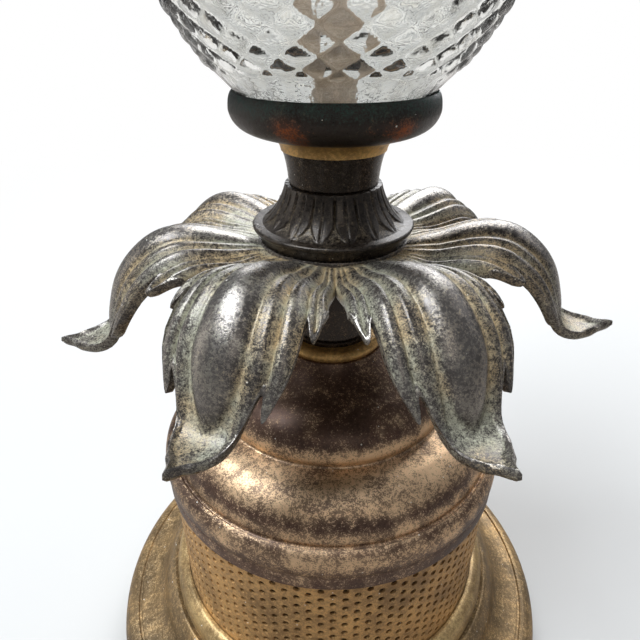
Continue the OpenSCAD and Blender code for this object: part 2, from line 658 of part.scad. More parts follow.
liner_r = socket_r - brass_t - 0.2;
liner_t = 0.8;
stem_r = 1.7;
stem_z = shell_z + 8;
stem_hole_r = stem_r + joint_gap + 0.2;
module stem_hole(r) {
    translate([0, 0, stem_z]) rotate([90, 0, 0]) cylinder(r = r, h = socket_r + 4, $fn = small_fn);
}

module socket_shell() {
    color("#b08d4c") difference() {
        turned([
            [socket_r - brass_t, shell_z], [socket_r, shell_z], [socket_r, shell_z + shell_h - 6],
            [socket_r + 0.6, shell_z + shell_h - 4], [socket_r + 0.6, shell_z + shell_h - 2],
            [socket_r, shell_z + shell_h], [socket_r - brass_t, shell_z + shell_h],
            [socket_r, shell_z + shell_h - 2.4], [socket_r, shell_z + shell_h - 3.6],
            [socket_r - brass_t, shell_z + shell_h - 6]
        ], small_fn);
        stem_hole(stem_hole_r + 0.8);
    }
}

module socket_insulator() {
    color("#4a4238") difference() {
        tube(shell_z + 0.5, shell_h - 2, liner_r, liner_r - liner_t, small_fn);
        stem_hole(stem_hole_r + 0.8);
    }
}

core_r = liner_r - liner_t - 0.2;
core_z = shell_z + 1;
core_h = 15;
screw_z = core_z + core_h;
module socket_core() {
    color("#e4dfd2") difference() {
        translate([0, 0, core_z]) cylinder(r = core_r, h = core_h, $fn = small_fn);
        translate([0, 0, stem_z]) rotate([90, 0, 0]) cylinder(r = stem_r + run_gap, h = core_r + 2, $fn = small_fn);
        translate([0, 0, screw_z - 3]) cylinder(r = 6, h = 4, $fn = small_fn);
    }
}

module screw_shell() {
    color("#c8b27a") tube(screw_z, screw_h, screw_r + 0.5, screw_r, small_fn);
}

// Bent spring tongue in the middle of the core
module centre_contact() {
    color("#c8b27a") {
        translate([0, 0, screw_z - 3]) cylinder(r = 2.4, h = 1.6, $fn = small_fn);
        translate([0, 0, screw_z - 1.4]) cylinder(r1 = 2.4, r2 = 3.4, h = 1.6, $fn = small_fn);
    }
}

// Two terminal screws under the core, one solid each
module terminal_screws() {
    color("#b08d4c") for (side = [-1, 1])
        translate([side * 8.5, 0, core_z - 3]) union() {
            cylinder(r = 3, h = 1.8, $fn = small_fn);
            translate([0, 0, 1.8]) cylinder(r = 1.4, h = 1.2, $fn = small_fn);
        }
}

// Turn switch at the front: a stem in the core and a fluted knob on its end
stem_in = 6;
stem_out = 30;
knob_l = 12;
module switch_stem() {
    color("#a8a296") translate([0, -stem_in, stem_z]) rotate([90, 0, 0])
        cylinder(r = stem_r, h = stem_out - stem_in, $fn = small_fn);
}

module switch_knob() {
    knob_y = socket_r + 3;
    color("#231d1a") translate([0, -knob_y, stem_z]) rotate([90, 0, 0]) difference() {
        turned([
            [stem_r, 0], [knob_r - 1.2, 0], [knob_r - 0.6, 1], [knob_r, 2.4], [knob_r - 0.5, knob_l - 1],
            [knob_r - 1.4, knob_l], [0, knob_l], [0, stem_out - knob_y], [stem_r, stem_out - knob_y]
        ], small_fn);
        for (k = [0 : 11])
            rotate([0, 0, k * 30]) translate([knob_r + 0.5, 0, 1.6]) cylinder(r = 1, h = knob_l, $fn = 16);
    }
}

// Harp: one wire bent to a loop with thickened feet, a disc and a threaded stud at its top
harp_z = tongue_top_z + 0.3;
harp_top_z = saddle_z + harp_h;
foot_r = wire_r + 1;
foot_h = ferrule_h + 6;
shoulder_r = 40;
shoulder_a = acos(1 - (harp_half_w - harp_leg_x) / (2 * shoulder_r));
shoulder_z = harp_z + foot_h + 6;
widest_z = shoulder_z + 2 * shoulder_r * sin(shoulder_a);
side_lean = 4;
// The bow's radius follows from the lean of the sides and the height that is left above them
side_rise = harp_top_z - widest_z - shoulder_r * sin(side_lean);
bow_r = (harp_half_w - shoulder_r * (1 - cos(side_lean)) - side_rise * tan(side_lean))
    / (cos(side_lean) - tan(side_lean) * (1 - sin(side_lean)));
disc_t = 2.4;
stud_r = 3.15;
stud_h = 11;
harp_half = concat(
    [[harp_leg_x, harp_z + foot_h - 2]],
    arc([harp_leg_x + shoulder_r, shoulder_z], shoulder_r, 180, 180 - shoulder_a, 6),
    [for (i = [1 : 6]) [harp_half_w - shoulder_r, widest_z]
        + shoulder_r * [cos(shoulder_a * (i / 6 - 1)), sin(shoulder_a * (i / 6 - 1))]],
    arc([0, harp_top_z - bow_r], bow_r, side_lean, 90, 11)
);
harp_path = concat(harp_half, [for (p = backwards(harp_half)) if (p[0] > 0.001) [-p[0], p[1]]]);
wire_sides = 8;
module harp() {
    n = len(harp_path);
    points = [
        for (k = [0 : wire_sides - 1])
            let (
                a = (k + 0.5) * 360 / wire_sides,
                line = beside(harp_path, wire_r * cos(a))
            )
            each [for (p = line) [p[0], wire_r * sin(a), p[1]]]
    ];
    function at(k, i) = (k % wire_sides) * n + i;
    faces = concat(
        [for (k = [0 : wire_sides - 1], i = [0 : n - 2]) [at(k, i), at(k, i + 1), at(k + 1, i + 1), at(k + 1, i)]],
        [[for (k = [0 : wire_sides - 1]) at(k, 0)], [for (k = [wire_sides - 1 : -1 : 0]) at(k, n - 1)]]
    );
    color("#b59a5e") union() {
        polyhedron(points, faces, convexity = 4);
        for (side = [-1, 1])
            translate([side * harp_leg_x, 0, harp_z]) cylinder(r = foot_r, h = foot_h, $fn = small_fn);
        translate([0, 0, harp_top_z - wire_r]) cylinder(r = 7, h = disc_t + wire_r, $fn = small_fn);
        translate([0, 0, harp_top_z + disc_t]) cylinder(r = stud_r, h = stud_h, $fn = small_fn);
    }
}

module ferrule(side) {
    translate([side * harp_leg_x, 0, 0]) difference() {
        translate([0, 0, saddle_arm_z + joint_gap]) cylinder(r = foot_r + 1.3, h = ferrule_h, $fn = small_fn);
        translate([0, 0, saddle_arm_z - 1]) cylinder(r = foot_r + joint_gap, h = ferrule_h + 3, $fn = small_fn);
    }
}

module ferrule_left() {
    color("#b59a5e") ferrule(-1);
}

module ferrule_right() {
    color("#b59a5e") ferrule(1);
}

// Finial: a turned knob with a blind hole for the stud of the harp
module finial() {
    z = harp_top_z + disc_t + joint_gap;
    color("#a5813f") translate([0, 0, z]) turned(concat(
        [[stud_r + run_gap, 0], [7.4, 0]],
        bend([7.6, 0.4], [7.8, 3], [5.4, 3.4], 4),
        bend([4.4, 4], [3.6, 6], [5, 8], 5),
        bend([6, 8.6], [11.4, 13], [8.4, 19], 9),
        bend([7.6, 20.4], [4, 24], [2.2, 25], 5),
        [[1.8, 27], [0, 28.4], [0, stud_h + 1], [stud_r + run_gap, stud_h + 1]]
    ), small_fn);
}

felt_pad();
base_shell();
base_weight();
bottom_washer();
bottom_nut();
cord_bushing();
base_ring();
perforated_band();
bell_cover();
bead_ring();
spindle_sleeve();
leaf_crown();
leaf_collar();
neck_cone();
gold_cove();
lower_cup();
lower_gasket();
glass_body();
centre_tube();
threaded_rod();
upper_gasket();
upper_cup();
upper_neck();
harp_saddle();
saddle_washer();
saddle_nut();
socket_cap();
socket_insulator();
socket_shell();
socket_core();
screw_shell();
centre_contact();
terminal_screws();
switch_stem();
switch_knob();
harp();
ferrule_left();
ferrule_right();
finial();
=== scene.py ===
"""Dresses the table lamp: spun and cast metal with old bronze paint, a pressed glass body, a socket and a harp."""
import math

import bpy
import numpy as np
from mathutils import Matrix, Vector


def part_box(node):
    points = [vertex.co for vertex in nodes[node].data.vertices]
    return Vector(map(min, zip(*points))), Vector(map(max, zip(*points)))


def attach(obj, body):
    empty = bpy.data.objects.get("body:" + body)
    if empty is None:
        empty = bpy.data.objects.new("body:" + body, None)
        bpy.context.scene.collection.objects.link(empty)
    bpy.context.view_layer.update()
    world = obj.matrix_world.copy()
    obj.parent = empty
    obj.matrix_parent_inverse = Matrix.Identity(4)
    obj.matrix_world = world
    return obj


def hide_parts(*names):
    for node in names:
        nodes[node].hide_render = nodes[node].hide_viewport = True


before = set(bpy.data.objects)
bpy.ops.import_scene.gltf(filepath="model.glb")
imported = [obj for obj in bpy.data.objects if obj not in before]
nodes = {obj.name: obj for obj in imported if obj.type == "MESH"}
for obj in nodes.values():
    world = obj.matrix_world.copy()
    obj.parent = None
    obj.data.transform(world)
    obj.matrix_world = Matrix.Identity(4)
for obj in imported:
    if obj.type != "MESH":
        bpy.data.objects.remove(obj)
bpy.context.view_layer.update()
MM = 0.001

# Camera: close to the lamp and above its middle, looking down by 30 degrees, as in the photograph.
# Place and lens come from the circles of the base, the rim, the collar and the fitter ring.
camera_data = bpy.data.cameras.new("camera")
camera_data.sensor_width = 36.0
camera_data.lens = 29.81
camera = bpy.data.objects.new("camera", camera_data)
camera.location = (-4.3 * MM, -168 * MM, 258 * MM)
camera.rotation_euler = (math.radians(60), 0, 0)
camera_data.clip_start = 0.005
bpy.context.scene.collection.objects.link(camera)
bpy.context.scene.camera = camera
bpy.context.scene.view_settings.view_transform = "Standard"

# Light: a room that the camera sees as white, the glass a little darker and the metal darker still,
# and large soft panels like windows to the upper left, the right and behind.
world = bpy.data.worlds.new("room")
bpy.context.scene.world = world
world.use_nodes = True
wt = world.node_tree
wt.nodes.clear()
world_out = wt.nodes.new("ShaderNodeOutputWorld")
world_mix = wt.nodes.new("ShaderNodeMixShader")
room = wt.nodes.new("ShaderNodeBackground")
room.inputs["Color"].default_value = (0.80, 0.86, 1.0, 1)
room.inputs["Strength"].default_value = 0.08
backdrop = wt.nodes.new("ShaderNodeBackground")
backdrop.inputs["Color"].default_value = (1, 1, 1, 1)
backdrop.inputs["Strength"].default_value = 1.0
path = wt.nodes.new("ShaderNodeLightPath")
seen = wt.nodes.new("ShaderNodeMath")
seen.operation = "MAXIMUM"
wt.links.new(path.outputs["Is Camera Ray"], seen.inputs[0])
through_glass = wt.nodes.new("ShaderNodeMath")
through_glass.operation = "MINIMUM"
through_glass.inputs[1].default_value = 0.6
wt.links.new(path.outputs["Transmission Depth"], through_glass.inputs[0])
wt.links.new(through_glass.outputs[0], seen.inputs[1])
in_metal = wt.nodes.new("ShaderNodeMath")
in_metal.operation = "MULTIPLY"
in_metal.inputs[1].default_value = 0.15
wt.links.new(path.outputs["Is Glossy Ray"], in_metal.inputs[0])
shown = wt.nodes.new("ShaderNodeMath")
shown.operation = "MAXIMUM"
wt.links.new(seen.outputs[0], shown.inputs[0])
wt.links.new(in_metal.outputs[0], shown.inputs[1])
wt.links.new(shown.outputs[0], world_mix.inputs["Fac"])
wt.links.new(room.outputs[0], world_mix.inputs[1])
wt.links.new(backdrop.outputs[0], world_mix.inputs[2])
wt.links.new(world_mix.outputs[0], world_out.inputs["Surface"])


def panel(name, place, target, size, power, colour):
    """A soft square lamp at place (m), turned to target."""
    data = bpy.data.lights.new(name, "AREA")
    data.shape = "RECTANGLE"
    data.size, data.size_y = size
    data.energy = power
    data.color = colour
    lamp = bpy.data.objects.new(name, data)
    lamp.location = place
    direction = np.array(target) - np.array(place)
    lamp.rotation_euler = mathutils_euler(direction)
    lamp.visible_transmission = False
    bpy.context.scene.collection.objects.link(lamp)


def mathutils_euler(direction):
    """Turn that points a lamp's -Z along direction."""
    x, y, z = direction / np.linalg.norm(direction)
    return (math.acos(-z), 0.0, math.atan2(-x, y) if abs(z) < 0.9999 else 0.0)


panel("skylight", (-0.8, -0.3, 1.93), (0, 0, 0.17), (1.1, 0.68), 50.0, (0.9, 0.95, 1.0))
panel("window_behind", (0.3, 1.3, 0.8), (0, 0, 0.2), (1.6, 0.6), 17.0, (0.95, 0.97, 1.0))
panel("window_left", (-1.1, 0.1, 0.35), (0, 0, 0.12), (0.5, 0.6), 1.3, (1.0, 0.95, 0.88))
panel("window_right", (0.9, 0.35, 0.8), (0, 0, 0.17), (0.5, 0.6), 1.2, (0.97, 0.97, 1.0))
panel("ceiling", (0.35, 1.5, 2.0), (0, 0, 0.18), (1.5, 0.9), 42.0, (0.95, 0.97, 1.0))
panel("front_fill", (0.2, -1.0, 0.85), (0, 0, 0.1), (0.5, 0.4), 1.25, (1.0, 0.92, 0.82))

# Floor: a pale table top that keeps the shadow of the lamp and fades into the white room farther off.
# The metal and the glass see it darker, which gives its upright walls the tone that they have in the photograph.
bpy.ops.mesh.primitive_circle_add(vertices=96, radius=3.0, fill_type="NGON", location=(0, 0, 0))
floor = bpy.context.object
floor.name = "floor"
floor_material = bpy.data.materials.new("pale_floor")
floor_material.use_nodes = True
ft = floor_material.node_tree
floor_shader = ft.nodes["Principled BSDF"]
floor_shader.inputs["Roughness"].default_value = 0.8
floor_colour = ft.nodes.new("ShaderNodeMix")
floor_colour.data_type = "RGBA"
floor_colour.inputs["A"].default_value = (0.31, 0.285, 0.26, 1)
floor_colour.inputs["B"].default_value = (0.5, 0.5, 0.49, 1)
floor_glow = ft.nodes.new("ShaderNodeEmission")
floor_glow.inputs["Strength"].default_value = 1.0
floor_mix = ft.nodes.new("ShaderNodeMixShader")
floor_path = ft.nodes.new("ShaderNodeLightPath")
floor_through = ft.nodes.new("ShaderNodeMath")
floor_through.operation = "MINIMUM"
floor_through.inputs[1].default_value = 0.8
floor_place = ft.nodes.new("ShaderNodeTexCoord")
floor_radius = ft.nodes.new("ShaderNodeVectorMath")
floor_radius.operation = "LENGTH"
floor_fade = ft.nodes.new("ShaderNodeMapRange")
floor_fade.interpolation_type = "SMOOTHSTEP"
floor_fade.inputs["From Min"].default_value = 0.15
floor_fade.inputs["From Max"].default_value = 1.1
floor_fade.inputs["To Min"].default_value = 0.1
floor_bright = ft.nodes.new("ShaderNodeMath")
floor_bright.operation = "MULTIPLY"
floor_seen = ft.nodes.new("ShaderNodeMath")
floor_seen.operation = "MAXIMUM"
ft.links.new(floor_path.outputs["Transmission Depth"], floor_through.inputs[0])
ft.links.new(floor_path.outputs["Is Camera Ray"], floor_colour.inputs["Factor"])
ft.links.new(floor_colour.outputs["Result"], floor_shader.inputs["Base Color"])
ft.links.new(floor_place.outputs["Object"], floor_radius.inputs[0])
ft.links.new(floor_radius.outputs["Value"], floor_fade.inputs["Value"])
ft.links.new(floor_fade.outputs["Result"], floor_bright.inputs[0])
ft.links.new(floor_path.outputs["Is Camera Ray"], floor_bright.inputs[1])
ft.links.new(floor_bright.outputs[0], floor_seen.inputs[0])
ft.links.new(floor_through.outputs[0], floor_seen.inputs[1])
ft.links.new(floor_seen.outputs[0], floor_mix.inputs["Fac"])
ft.links.new(floor_shader.outputs[0], floor_mix.inputs[1])
ft.links.new(floor_glow.outputs[0], floor_mix.inputs[2])
ft.links.new(floor_mix.outputs[0], ft.nodes["Material Output"].inputs["Surface"])
floor.data.materials.append(floor_material)


# Old paint on metal: a node group that wears a finish through to brighter metal in cloudy zones and specks,
# and lays pale dust in hollows. It gives a colour, a metal share, a roughness and a height.
def new_group(name, inputs, outputs):
    """An empty shader node group with named sockets."""
    group = bpy.data.node_groups.new(name, "ShaderNodeTree")
    for label, kind, value in inputs:
        socket = group.interface.new_socket(label, in_out="INPUT", socket_type=kind)
        socket.default_value = value
    for label, kind in outputs:
        group.interface.new_socket(label, in_out="OUTPUT", socket_type=kind)
    return group, group.nodes.new("NodeGroupInput"), group.nodes.new("NodeGroupOutput")


def noise(tree, vector, scale, detail=4.0, rough=0.55, distortion=0.0):
    """A noise value (0 to 1) of the given scale per metre."""
    n = tree.nodes.new("ShaderNodeTexNoise")
    n.inputs["Scale"].default_value = scale
    n.inputs["Detail"].default_value = detail
    n.inputs["Roughness"].default_value = rough
    n.inputs["Distortion"].default_value = distortion
    tree.links.new(vector, n.inputs["Vector"])
    return n.outputs["Fac"]


def remap(tree, value, low, high, to_low=0.0, to_high=1.0):
    """value from low..high to to_low..to_high, smooth and clamped."""
    n = tree.nodes.new("ShaderNodeMapRange")
    n.interpolation_type = "SMOOTHSTEP"
    tree.links.new(value, n.inputs["Value"])
    for label, source in (("From Min", low), ("From Max", high), ("To Min", to_low), ("To Max", to_high)):
        if isinstance(source, (int, float)):
            n.inputs[label].default_value = source
        else:
            tree.links.new(source, n.inputs[label])
    return n.outputs["Result"]


def combine(tree, operation, a, b):
    """One Math node; a and b are sockets or numbers."""
    n = tree.nodes.new("ShaderNodeMath")
    n.operation = operation
    for i, source in enumerate((a, b)):
        if isinstance(source, (int, float)):
            n.inputs[i].default_value = source
        else:
            tree.links.new(source, n.inputs[i])
    return n.outputs[0]


def blend_colour(tree, factor, a, b):
    """Colour a where factor is 0 and b where it is 1."""
    n = tree.nodes.new("ShaderNodeMix")
    n.data_type = "RGBA"
    tree.links.new(factor, n.inputs["Factor"])
    for label, source in (("A", a), ("B", b)):
        socket = next(s for s in n.inputs if s.name == label and s.type == "RGBA")
        if isinstance(source, tuple):
            socket.default_value = source
        else:
            tree.links.new(source, socket)
    return next(s for s in n.outputs if s.type == "RGBA")


def sparse_spots(tree, vector, scale, size):
    """1 in small round spots round the points of a cell pattern, 0 elsewhere; half of the cells have none."""
    cells = tree.nodes.new("ShaderNodeTexVoronoi")
    cells.inputs["Scale"].default_value = scale
    tree.links.new(vector, cells.inputs["Vector"])
    pick = tree.nodes.new("ShaderNodeSeparateColor")
    tree.links.new(cells.outputs["Color"], pick.inputs["Color"])
    reach = combine(tree, "MULTIPLY", pick.outputs["Red"], size)
    return combine(tree, "LESS_THAN", cells.outputs["Distance"], combine(tree, "SUBTRACT", reach, size * 0.5))


patina, gin, gout = new_group("old_paint", [
    ("Vector", "NodeSocketVector", (0, 0, 0)), ("Paint", "NodeSocketColor", (0.05, 0.04, 0.03, 1)),
    ("Worn", "NodeSocketColor", (0.4, 0.3, 0.12, 1)), ("Dust", "NodeSocketColor", (0.45, 0.42, 0.3, 1)),
    ("Bloom", "NodeSocketColor", (0.4, 0.42, 0.36, 1)), ("Wear", "NodeSocketFloat", 0.3),
    ("Dusty", "NodeSocketFloat", 0.2), ("Rough", "NodeSocketFloat", 0.35)],
    [("Colour", "NodeSocketColor"), ("Metal", "NodeSocketFloat"), ("Roughness", "NodeSocketFloat"),
     ("Height", "NodeSocketFloat")])
where = gin.outputs["Vector"]
cloud, blotch = noise(patina, where, 38.0, 5.0, 0.6), noise(patina, where, 150.0, 5.0, 0.65)
mottle, grain = noise(patina, where, 850.0, 4.0, 0.7), noise(patina, where, 2400.0, 3.0, 0.7)
specks = combine(patina, "MULTIPLY", combine(patina, "ADD", mottle, grain), 0.5)
uneven = combine(patina, "SUBTRACT", combine(patina, "ADD", cloud, blotch), 1.0)
level = combine(patina, "ADD", gin.outputs["Wear"], uneven)
thin = remap(patina, level, 0.2, 1.1)
bare = remap(patina, combine(patina, "ADD", specks, combine(patina, "MULTIPLY", level, 0.24)), 0.63, 0.69)
worn = combine(patina, "ADD", combine(patina, "MULTIPLY", thin, 0.4), combine(patina, "MULTIPLY", bare, 0.55))
fine = combine(patina, "ADD", combine(patina, "MULTIPLY", mottle, 0.32), combine(patina, "MULTIPLY", grain, 0.5))
settled = combine(patina, "ADD", combine(patina, "MULTIPLY", blotch, 0.18), fine)
dust_sum = combine(patina, "ADD", settled, combine(patina, "MULTIPLY", gin.outputs["Dusty"], 0.2))
dusty = combine(patina, "MULTIPLY", remap(patina, dust_sum, 0.53, 0.77), 0.8)
shade = combine(patina, "MULTIPLY", remap(patina, cloud, 0.3, 0.7, 0.7, 1.3), remap(patina, mottle, 0.3, 0.7, 0.7, 1.3))
tint = patina.nodes.new("ShaderNodeVectorMath")
tint.operation = "SCALE"
patina.links.new(gin.outputs["Paint"], tint.inputs[0])
patina.links.new(shade, tint.inputs["Scale"])
painted = blend_colour(patina, worn, tint.outputs[0], gin.outputs["Worn"])
dust_tone = blend_colour(patina, remap(patina, cloud, 0.4, 0.6), gin.outputs["Dust"], gin.outputs["Bloom"])
dusted = blend_colour(patina, dusty, painted, dust_tone)
lint = sparse_spots(patina, where, 330.0, 0.18)
patina.links.new(blend_colour(patina, lint, dusted, (0.86, 0.83, 0.75, 1)), gout.inputs["Colour"])
clean = combine(patina, "SUBTRACT", 1.0, combine(patina, "MAXIMUM", dusty, lint))
patina.links.new(combine(patina, "MULTIPLY", clean, remap(patina, worn, 0.0, 0.9, 0.45, 1.0)), gout.inputs["Metal"])
rough_mix = combine(patina, "ADD", gin.outputs["Rough"],
                    combine(patina, "MULTIPLY", combine(patina, "SUBTRACT", mottle, 0.5), 0.5))
patina.links.new(combine(patina, "ADD", rough_mix, combine(patina, "MULTIPLY", dusty, 0.35)), gout.inputs["Roughness"])
height = combine(patina, "ADD", combine(patina, "MULTIPLY", grain, 0.4),
                 combine(patina, "ADD", combine(patina, "MULTIPLY", mottle, 0.5), combine(patina, "MULTIPLY", bare, 0.2)))
patina.links.new(combine(patina, "ADD", height, combine(patina, "MULTIPLY", dusty, 0.4)), gout.inputs["Height"])


def old_metal(name, paint, worn_colour, dust, wear, dusty_share, rough, bump=0.1, hollow=None, wear_map=None,
              bloom=None):
    """A material that uses the old paint group. hollow and wear_map name mesh attributes (0 to 1) that
    raise the dust and the wear where they are high."""
    material = bpy.data.materials.new(name)
    material.use_nodes = True
    tree = material.node_tree
    shader = tree.nodes["Principled BSDF"]
    coords = tree.nodes.new("ShaderNodeTexCoord")
    group = tree.nodes.new("ShaderNodeGroup")
    group.node_tree = patina
    tree.links.new(coords.outputs["Object"], group.inputs["Vector"])
    group.inputs["Paint"].default_value = (*paint, 1)
    group.inputs["Worn"].default_value = (*worn_colour, 1)
    group.inputs["Dust"].default_value = (*dust, 1)
    group.inputs["Bloom"].default_value = (*(bloom or dust), 1)
    group.inputs["Wear"].default_value = wear
    group.inputs["Dusty"].default_value = dusty_share
    group.inputs["Rough"].default_value = rough
    for label, attribute, base, gain in (("Dusty", hollow, dusty_share, 0.75), ("Wear", wear_map, wear, 0.6)):
        if attribute:
            reader = tree.nodes.new("ShaderNodeAttribute")
            reader.attribute_name = attribute
            level = combine(tree, "MULTIPLY_ADD", reader.outputs["Fac"], gain)
            level.node.inputs[2].default_value = base
            tree.links.new(level, group.inputs[label])
    tree.links.new(group.outputs["Colour"], shader.inputs["Base Color"])
    tree.links.new(group.outputs["Metal"], shader.inputs["Metallic"])
    tree.links.new(group.outputs["Roughness"], shader.inputs["Roughness"])
    bumps = tree.nodes.new("ShaderNodeBump")
    bumps.inputs["Strength"].default_value = bump
    bumps.inputs["Distance"].default_value = 0.0006
    tree.links.new(group.outputs["Height"], bumps.inputs["Height"])
    tree.links.new(bumps.outputs["Normal"], shader.inputs["Normal"])
    return material


def dress(node, material):
    """Gives a CAD node's object one material in every slot."""
    mesh = nodes[node].data
    if not mesh.materials:
        mesh.materials.append(material)
    for i in range(len(mesh.materials)):
        mesh.materials[i] = material


# Bell cover: two ogee swellings spun from brass sheet above a rolled rim, dark bronze paint worn to gold.
# Turned surfaces are lathed from the same curves as the construction, in millimetres from the piece's foot.
def bend(a, b, c, n=12):
    """Points of the quadratic curve from a to c that is drawn towards b."""
    t = np.linspace(0, 1, n + 1)[:, None]
    a, b, c = (np.array(p, float) for p in (a, b, c))
    return (1 - t) ** 2 * a + 2 * t * (1 - t) * b + t ** 2 * c


def arc(centre, r, a0, a1, n=12):
    """Points of a circular arc about centre from angle a0 to a1, in degrees."""
    a = np.radians(np.linspace(a0, a1, n + 1))
    return np.array(centre, float) + r * np.stack([np.cos(a), np.sin(a)], 1)


def grid_mesh(name, points, wrap_u=False, wrap_v=False, attributes=None, sharp=35.0):
    """A mesh of quads over points[u, v] (mm), closed along u or v where asked, with smooth shading."""
    nu, nv = points.shape[:2]
    iu = np.arange(nu if wrap_u else nu - 1)
    iv = np.arange(nv if wrap_v else nv - 1)
    a, b = np.meshgrid(iu, iv, indexing="ij")
    a2, b2 = (a + 1) % nu, (b + 1) % nv
    quads = np.stack([a * nv + b, a2 * nv + b, a2 * nv + b2, a * nv + b2], -1).reshape(-1, 4)
    mesh = bpy.data.meshes.new(name)
    mesh.vertices.add(nu * nv)
    mesh.vertices.foreach_set("co", (points * MM).astype(np.float32).ravel())
    mesh.loops.add(quads.size)
    mesh.loops.foreach_set("vertex_index", quads.astype(np.int32).ravel())
    mesh.polygons.add(len(quads))
    mesh.polygons.foreach_set("loop_start", np.arange(0, quads.size, 4, dtype=np.int32))
    mesh.update(calc_edges=True)
    mesh.validate()
    for label, values in (attributes or {}).items():
        layer = mesh.attributes.new(label, "FLOAT", "POINT")
        layer.data.foreach_set("value", values.astype(np.float32).ravel())
    mesh.polygons.foreach_set("use_smooth", np.ones(len(mesh.polygons), bool))
    mesh.set_sharp_from_angle(angle=math.radians(sharp))
    obj = bpy.data.objects.new(name, mesh)
    bpy.context.scene.collection.objects.link(obj)
    return obj


def lathe(name, outline, foot, segments=240, closed=True, sharp=35.0, along=None, x=0.0):
    """Revolves outline, points of radius and height above foot in mm, once round the upright axis at x.
    along gives attributes by name, each a value (0 to 1) for every point of the outline."""
    outline = np.asarray(outline, float)
    a = np.linspace(0, 2 * np.pi, segments, endpoint=False)[:, None]
    r, z = outline[None, :, 0], outline[None, :, 1]
    points = np.stack([r * np.cos(a) + x, r * np.sin(a), np.broadcast_to(z + foot, (segments, len(outline)))], -1)
    attributes = {label: np.broadcast_to(values, points.shape[:2]) for label, values in (along or {}).items()}
    return grid_mesh(name, points, wrap_u=True, wrap_v=closed, sharp=sharp, attributes=attributes)


def threaded(name, r_out, r_in, foot, height, pitch, depth, wall=None, turns=64):
    """An upright tube whose outside goes in and out by depth once a pitch, along a helix that climbs by one
    pitch a turn. With wall, the inside follows the thread too, as in rolled sheet; else it is r_in."""
    steps = int(height / pitch * 8) + 1
    z = np.linspace(0, height, steps)[None, :]
    a = np.linspace(0, 2 * np.pi, turns, endpoint=False)[:, None]
    wave = 0.5 - 0.5 * np.cos(2 * np.pi * (z / pitch - a / (2 * np.pi)))
    fade = np.clip(np.minimum(z, height - z) / pitch, 0, 1)
    outer = r_out - depth * (wave * fade + (1 - fade))
    inner = outer - wall if wall else np.full_like(outer, r_in)
    r = np.concatenate([outer, inner[:, ::-1]], 1)
    zz = np.broadcast_to(np.concatenate([z, z[:, ::-1]], 1) + foot, r.shape)
    return grid_mesh(name, np.stack([r * np.cos(a), r * np.sin(a), zz], -1), wrap_u=True, wrap_v=True, sharp=50)


def band_of(values, low, high, soft):
    """1 where values lie between low and high, falling to 0 over soft on each side."""
    values = np.asarray(values, float)
    return np.clip((values - low) / soft + 1, 0, 1) * np.clip((high - values) / soft + 1, 0, 1)


def stands_for(obj, material, body, slot_name, *names):
    """Finishes a piece: material, the body it rides on and the nodes it stands for; slot_name is not used."""
    obj.data.materials.append(material)
    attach(obj, body)
    if names:
        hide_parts(*names)
    return obj


def foot_of(node):
    """Height of the underside of a CAD node, in mm."""
    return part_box(node)[0][2] / MM


band_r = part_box("perforated_band")[1][0] / MM
sheet_t = 1.2
bell_r = band_r + 1.7
groove_r = bell_r - 4.4
step_r = groove_r - 17.8
rim_h, step_h, bell_h, bead_r = 15.0, 30.9, 53.5, 18.7
bell_skin = np.concatenate([
    [(band_r + 1.3, 0), (band_r + 1.3, 4.6), (bell_r - 0.6, 5.3)],
    bend((bell_r - 0.2, 6.4), (bell_r + 0.6, rim_h - 1.4), (groove_r + 1.4, rim_h + 0.4)),
    arc((groove_r + 0.9, rim_h + 0.6), 0.9, -100, -180, 5),
    bend((groove_r, rim_h + 1.4), (groove_r - 1.6, rim_h + 11), (step_r + 8, step_h - 2.2), 24),
    bend((step_r + 7.4, step_h - 2), (step_r + 2.4, step_h - 1), (step_r + 0.4, step_h - 0.8), 8),
    arc((step_r + 0.4, step_h), 0.8, -100, -180, 5)[1:],
    bend((step_r + 0.3, step_h + 1.6), (step_r + 0.2, step_h + 11), (step_r - 11.5, step_h + 14.4), 20),
    bend((step_r - 12, step_h + 14.5), (bead_r + 3, step_h + 17.2), (bead_r - 0.2, bell_h), 16),
    [(6, bell_h), (6, bell_h - sheet_t)],
    bend((bead_r - 1.6, bell_h - sheet_t), (bead_r + 3, step_h + 15.6), (step_r - 12.4, step_h + 13.1), 8),
    bend((step_r - 12, step_h + 13), (step_r - 1.2, step_h + 9.4), (step_r - 1.4, step_h + 1.6), 8),
    bend((step_r - 1.4, step_h + 1), (step_r - 1.6, step_h - 3), (step_r + 6.6, step_h - 3.8), 6),
    bend((step_r + 7, step_h - 3.6), (groove_r - 2.8, rim_h + 9.4), (groove_r - 1.2, rim_h - 1.6), 8),
    [(band_r - 1.6, 3.1), (band_r + 0.3, 3.1), (band_r + 0.3, 0)],
])
bell_wear = np.maximum.reduce([0.9 * band_of(bell_skin[:, 1], step_h + 0.5, step_h + 4, 3.5),
                               0.75 * band_of(bell_skin[:, 1], step_h - 6, step_h - 1.5, 4),
                               0.6 * band_of(bell_skin[:, 1], rim_h + 1, rim_h + 3.5, 3),
                               0.55 * band_of(bell_skin[:, 1], rim_h - 5, rim_h - 2, 3)])
bell_paint = old_metal("bell_bronze", (0.09, 0.048, 0.032), (0.86, 0.61, 0.375), (0.72, 0.54, 0.38),
                       wear=0.26, dusty_share=0.1, rough=0.4, bump=0.2, wear_map="wear")
bell = lathe("bell_cover_skin", bell_skin, foot_of("bell_cover"), along={"wear": bell_wear})
stands_for(bell, bell_paint, "lamp", "bell_metal", "bell_cover")

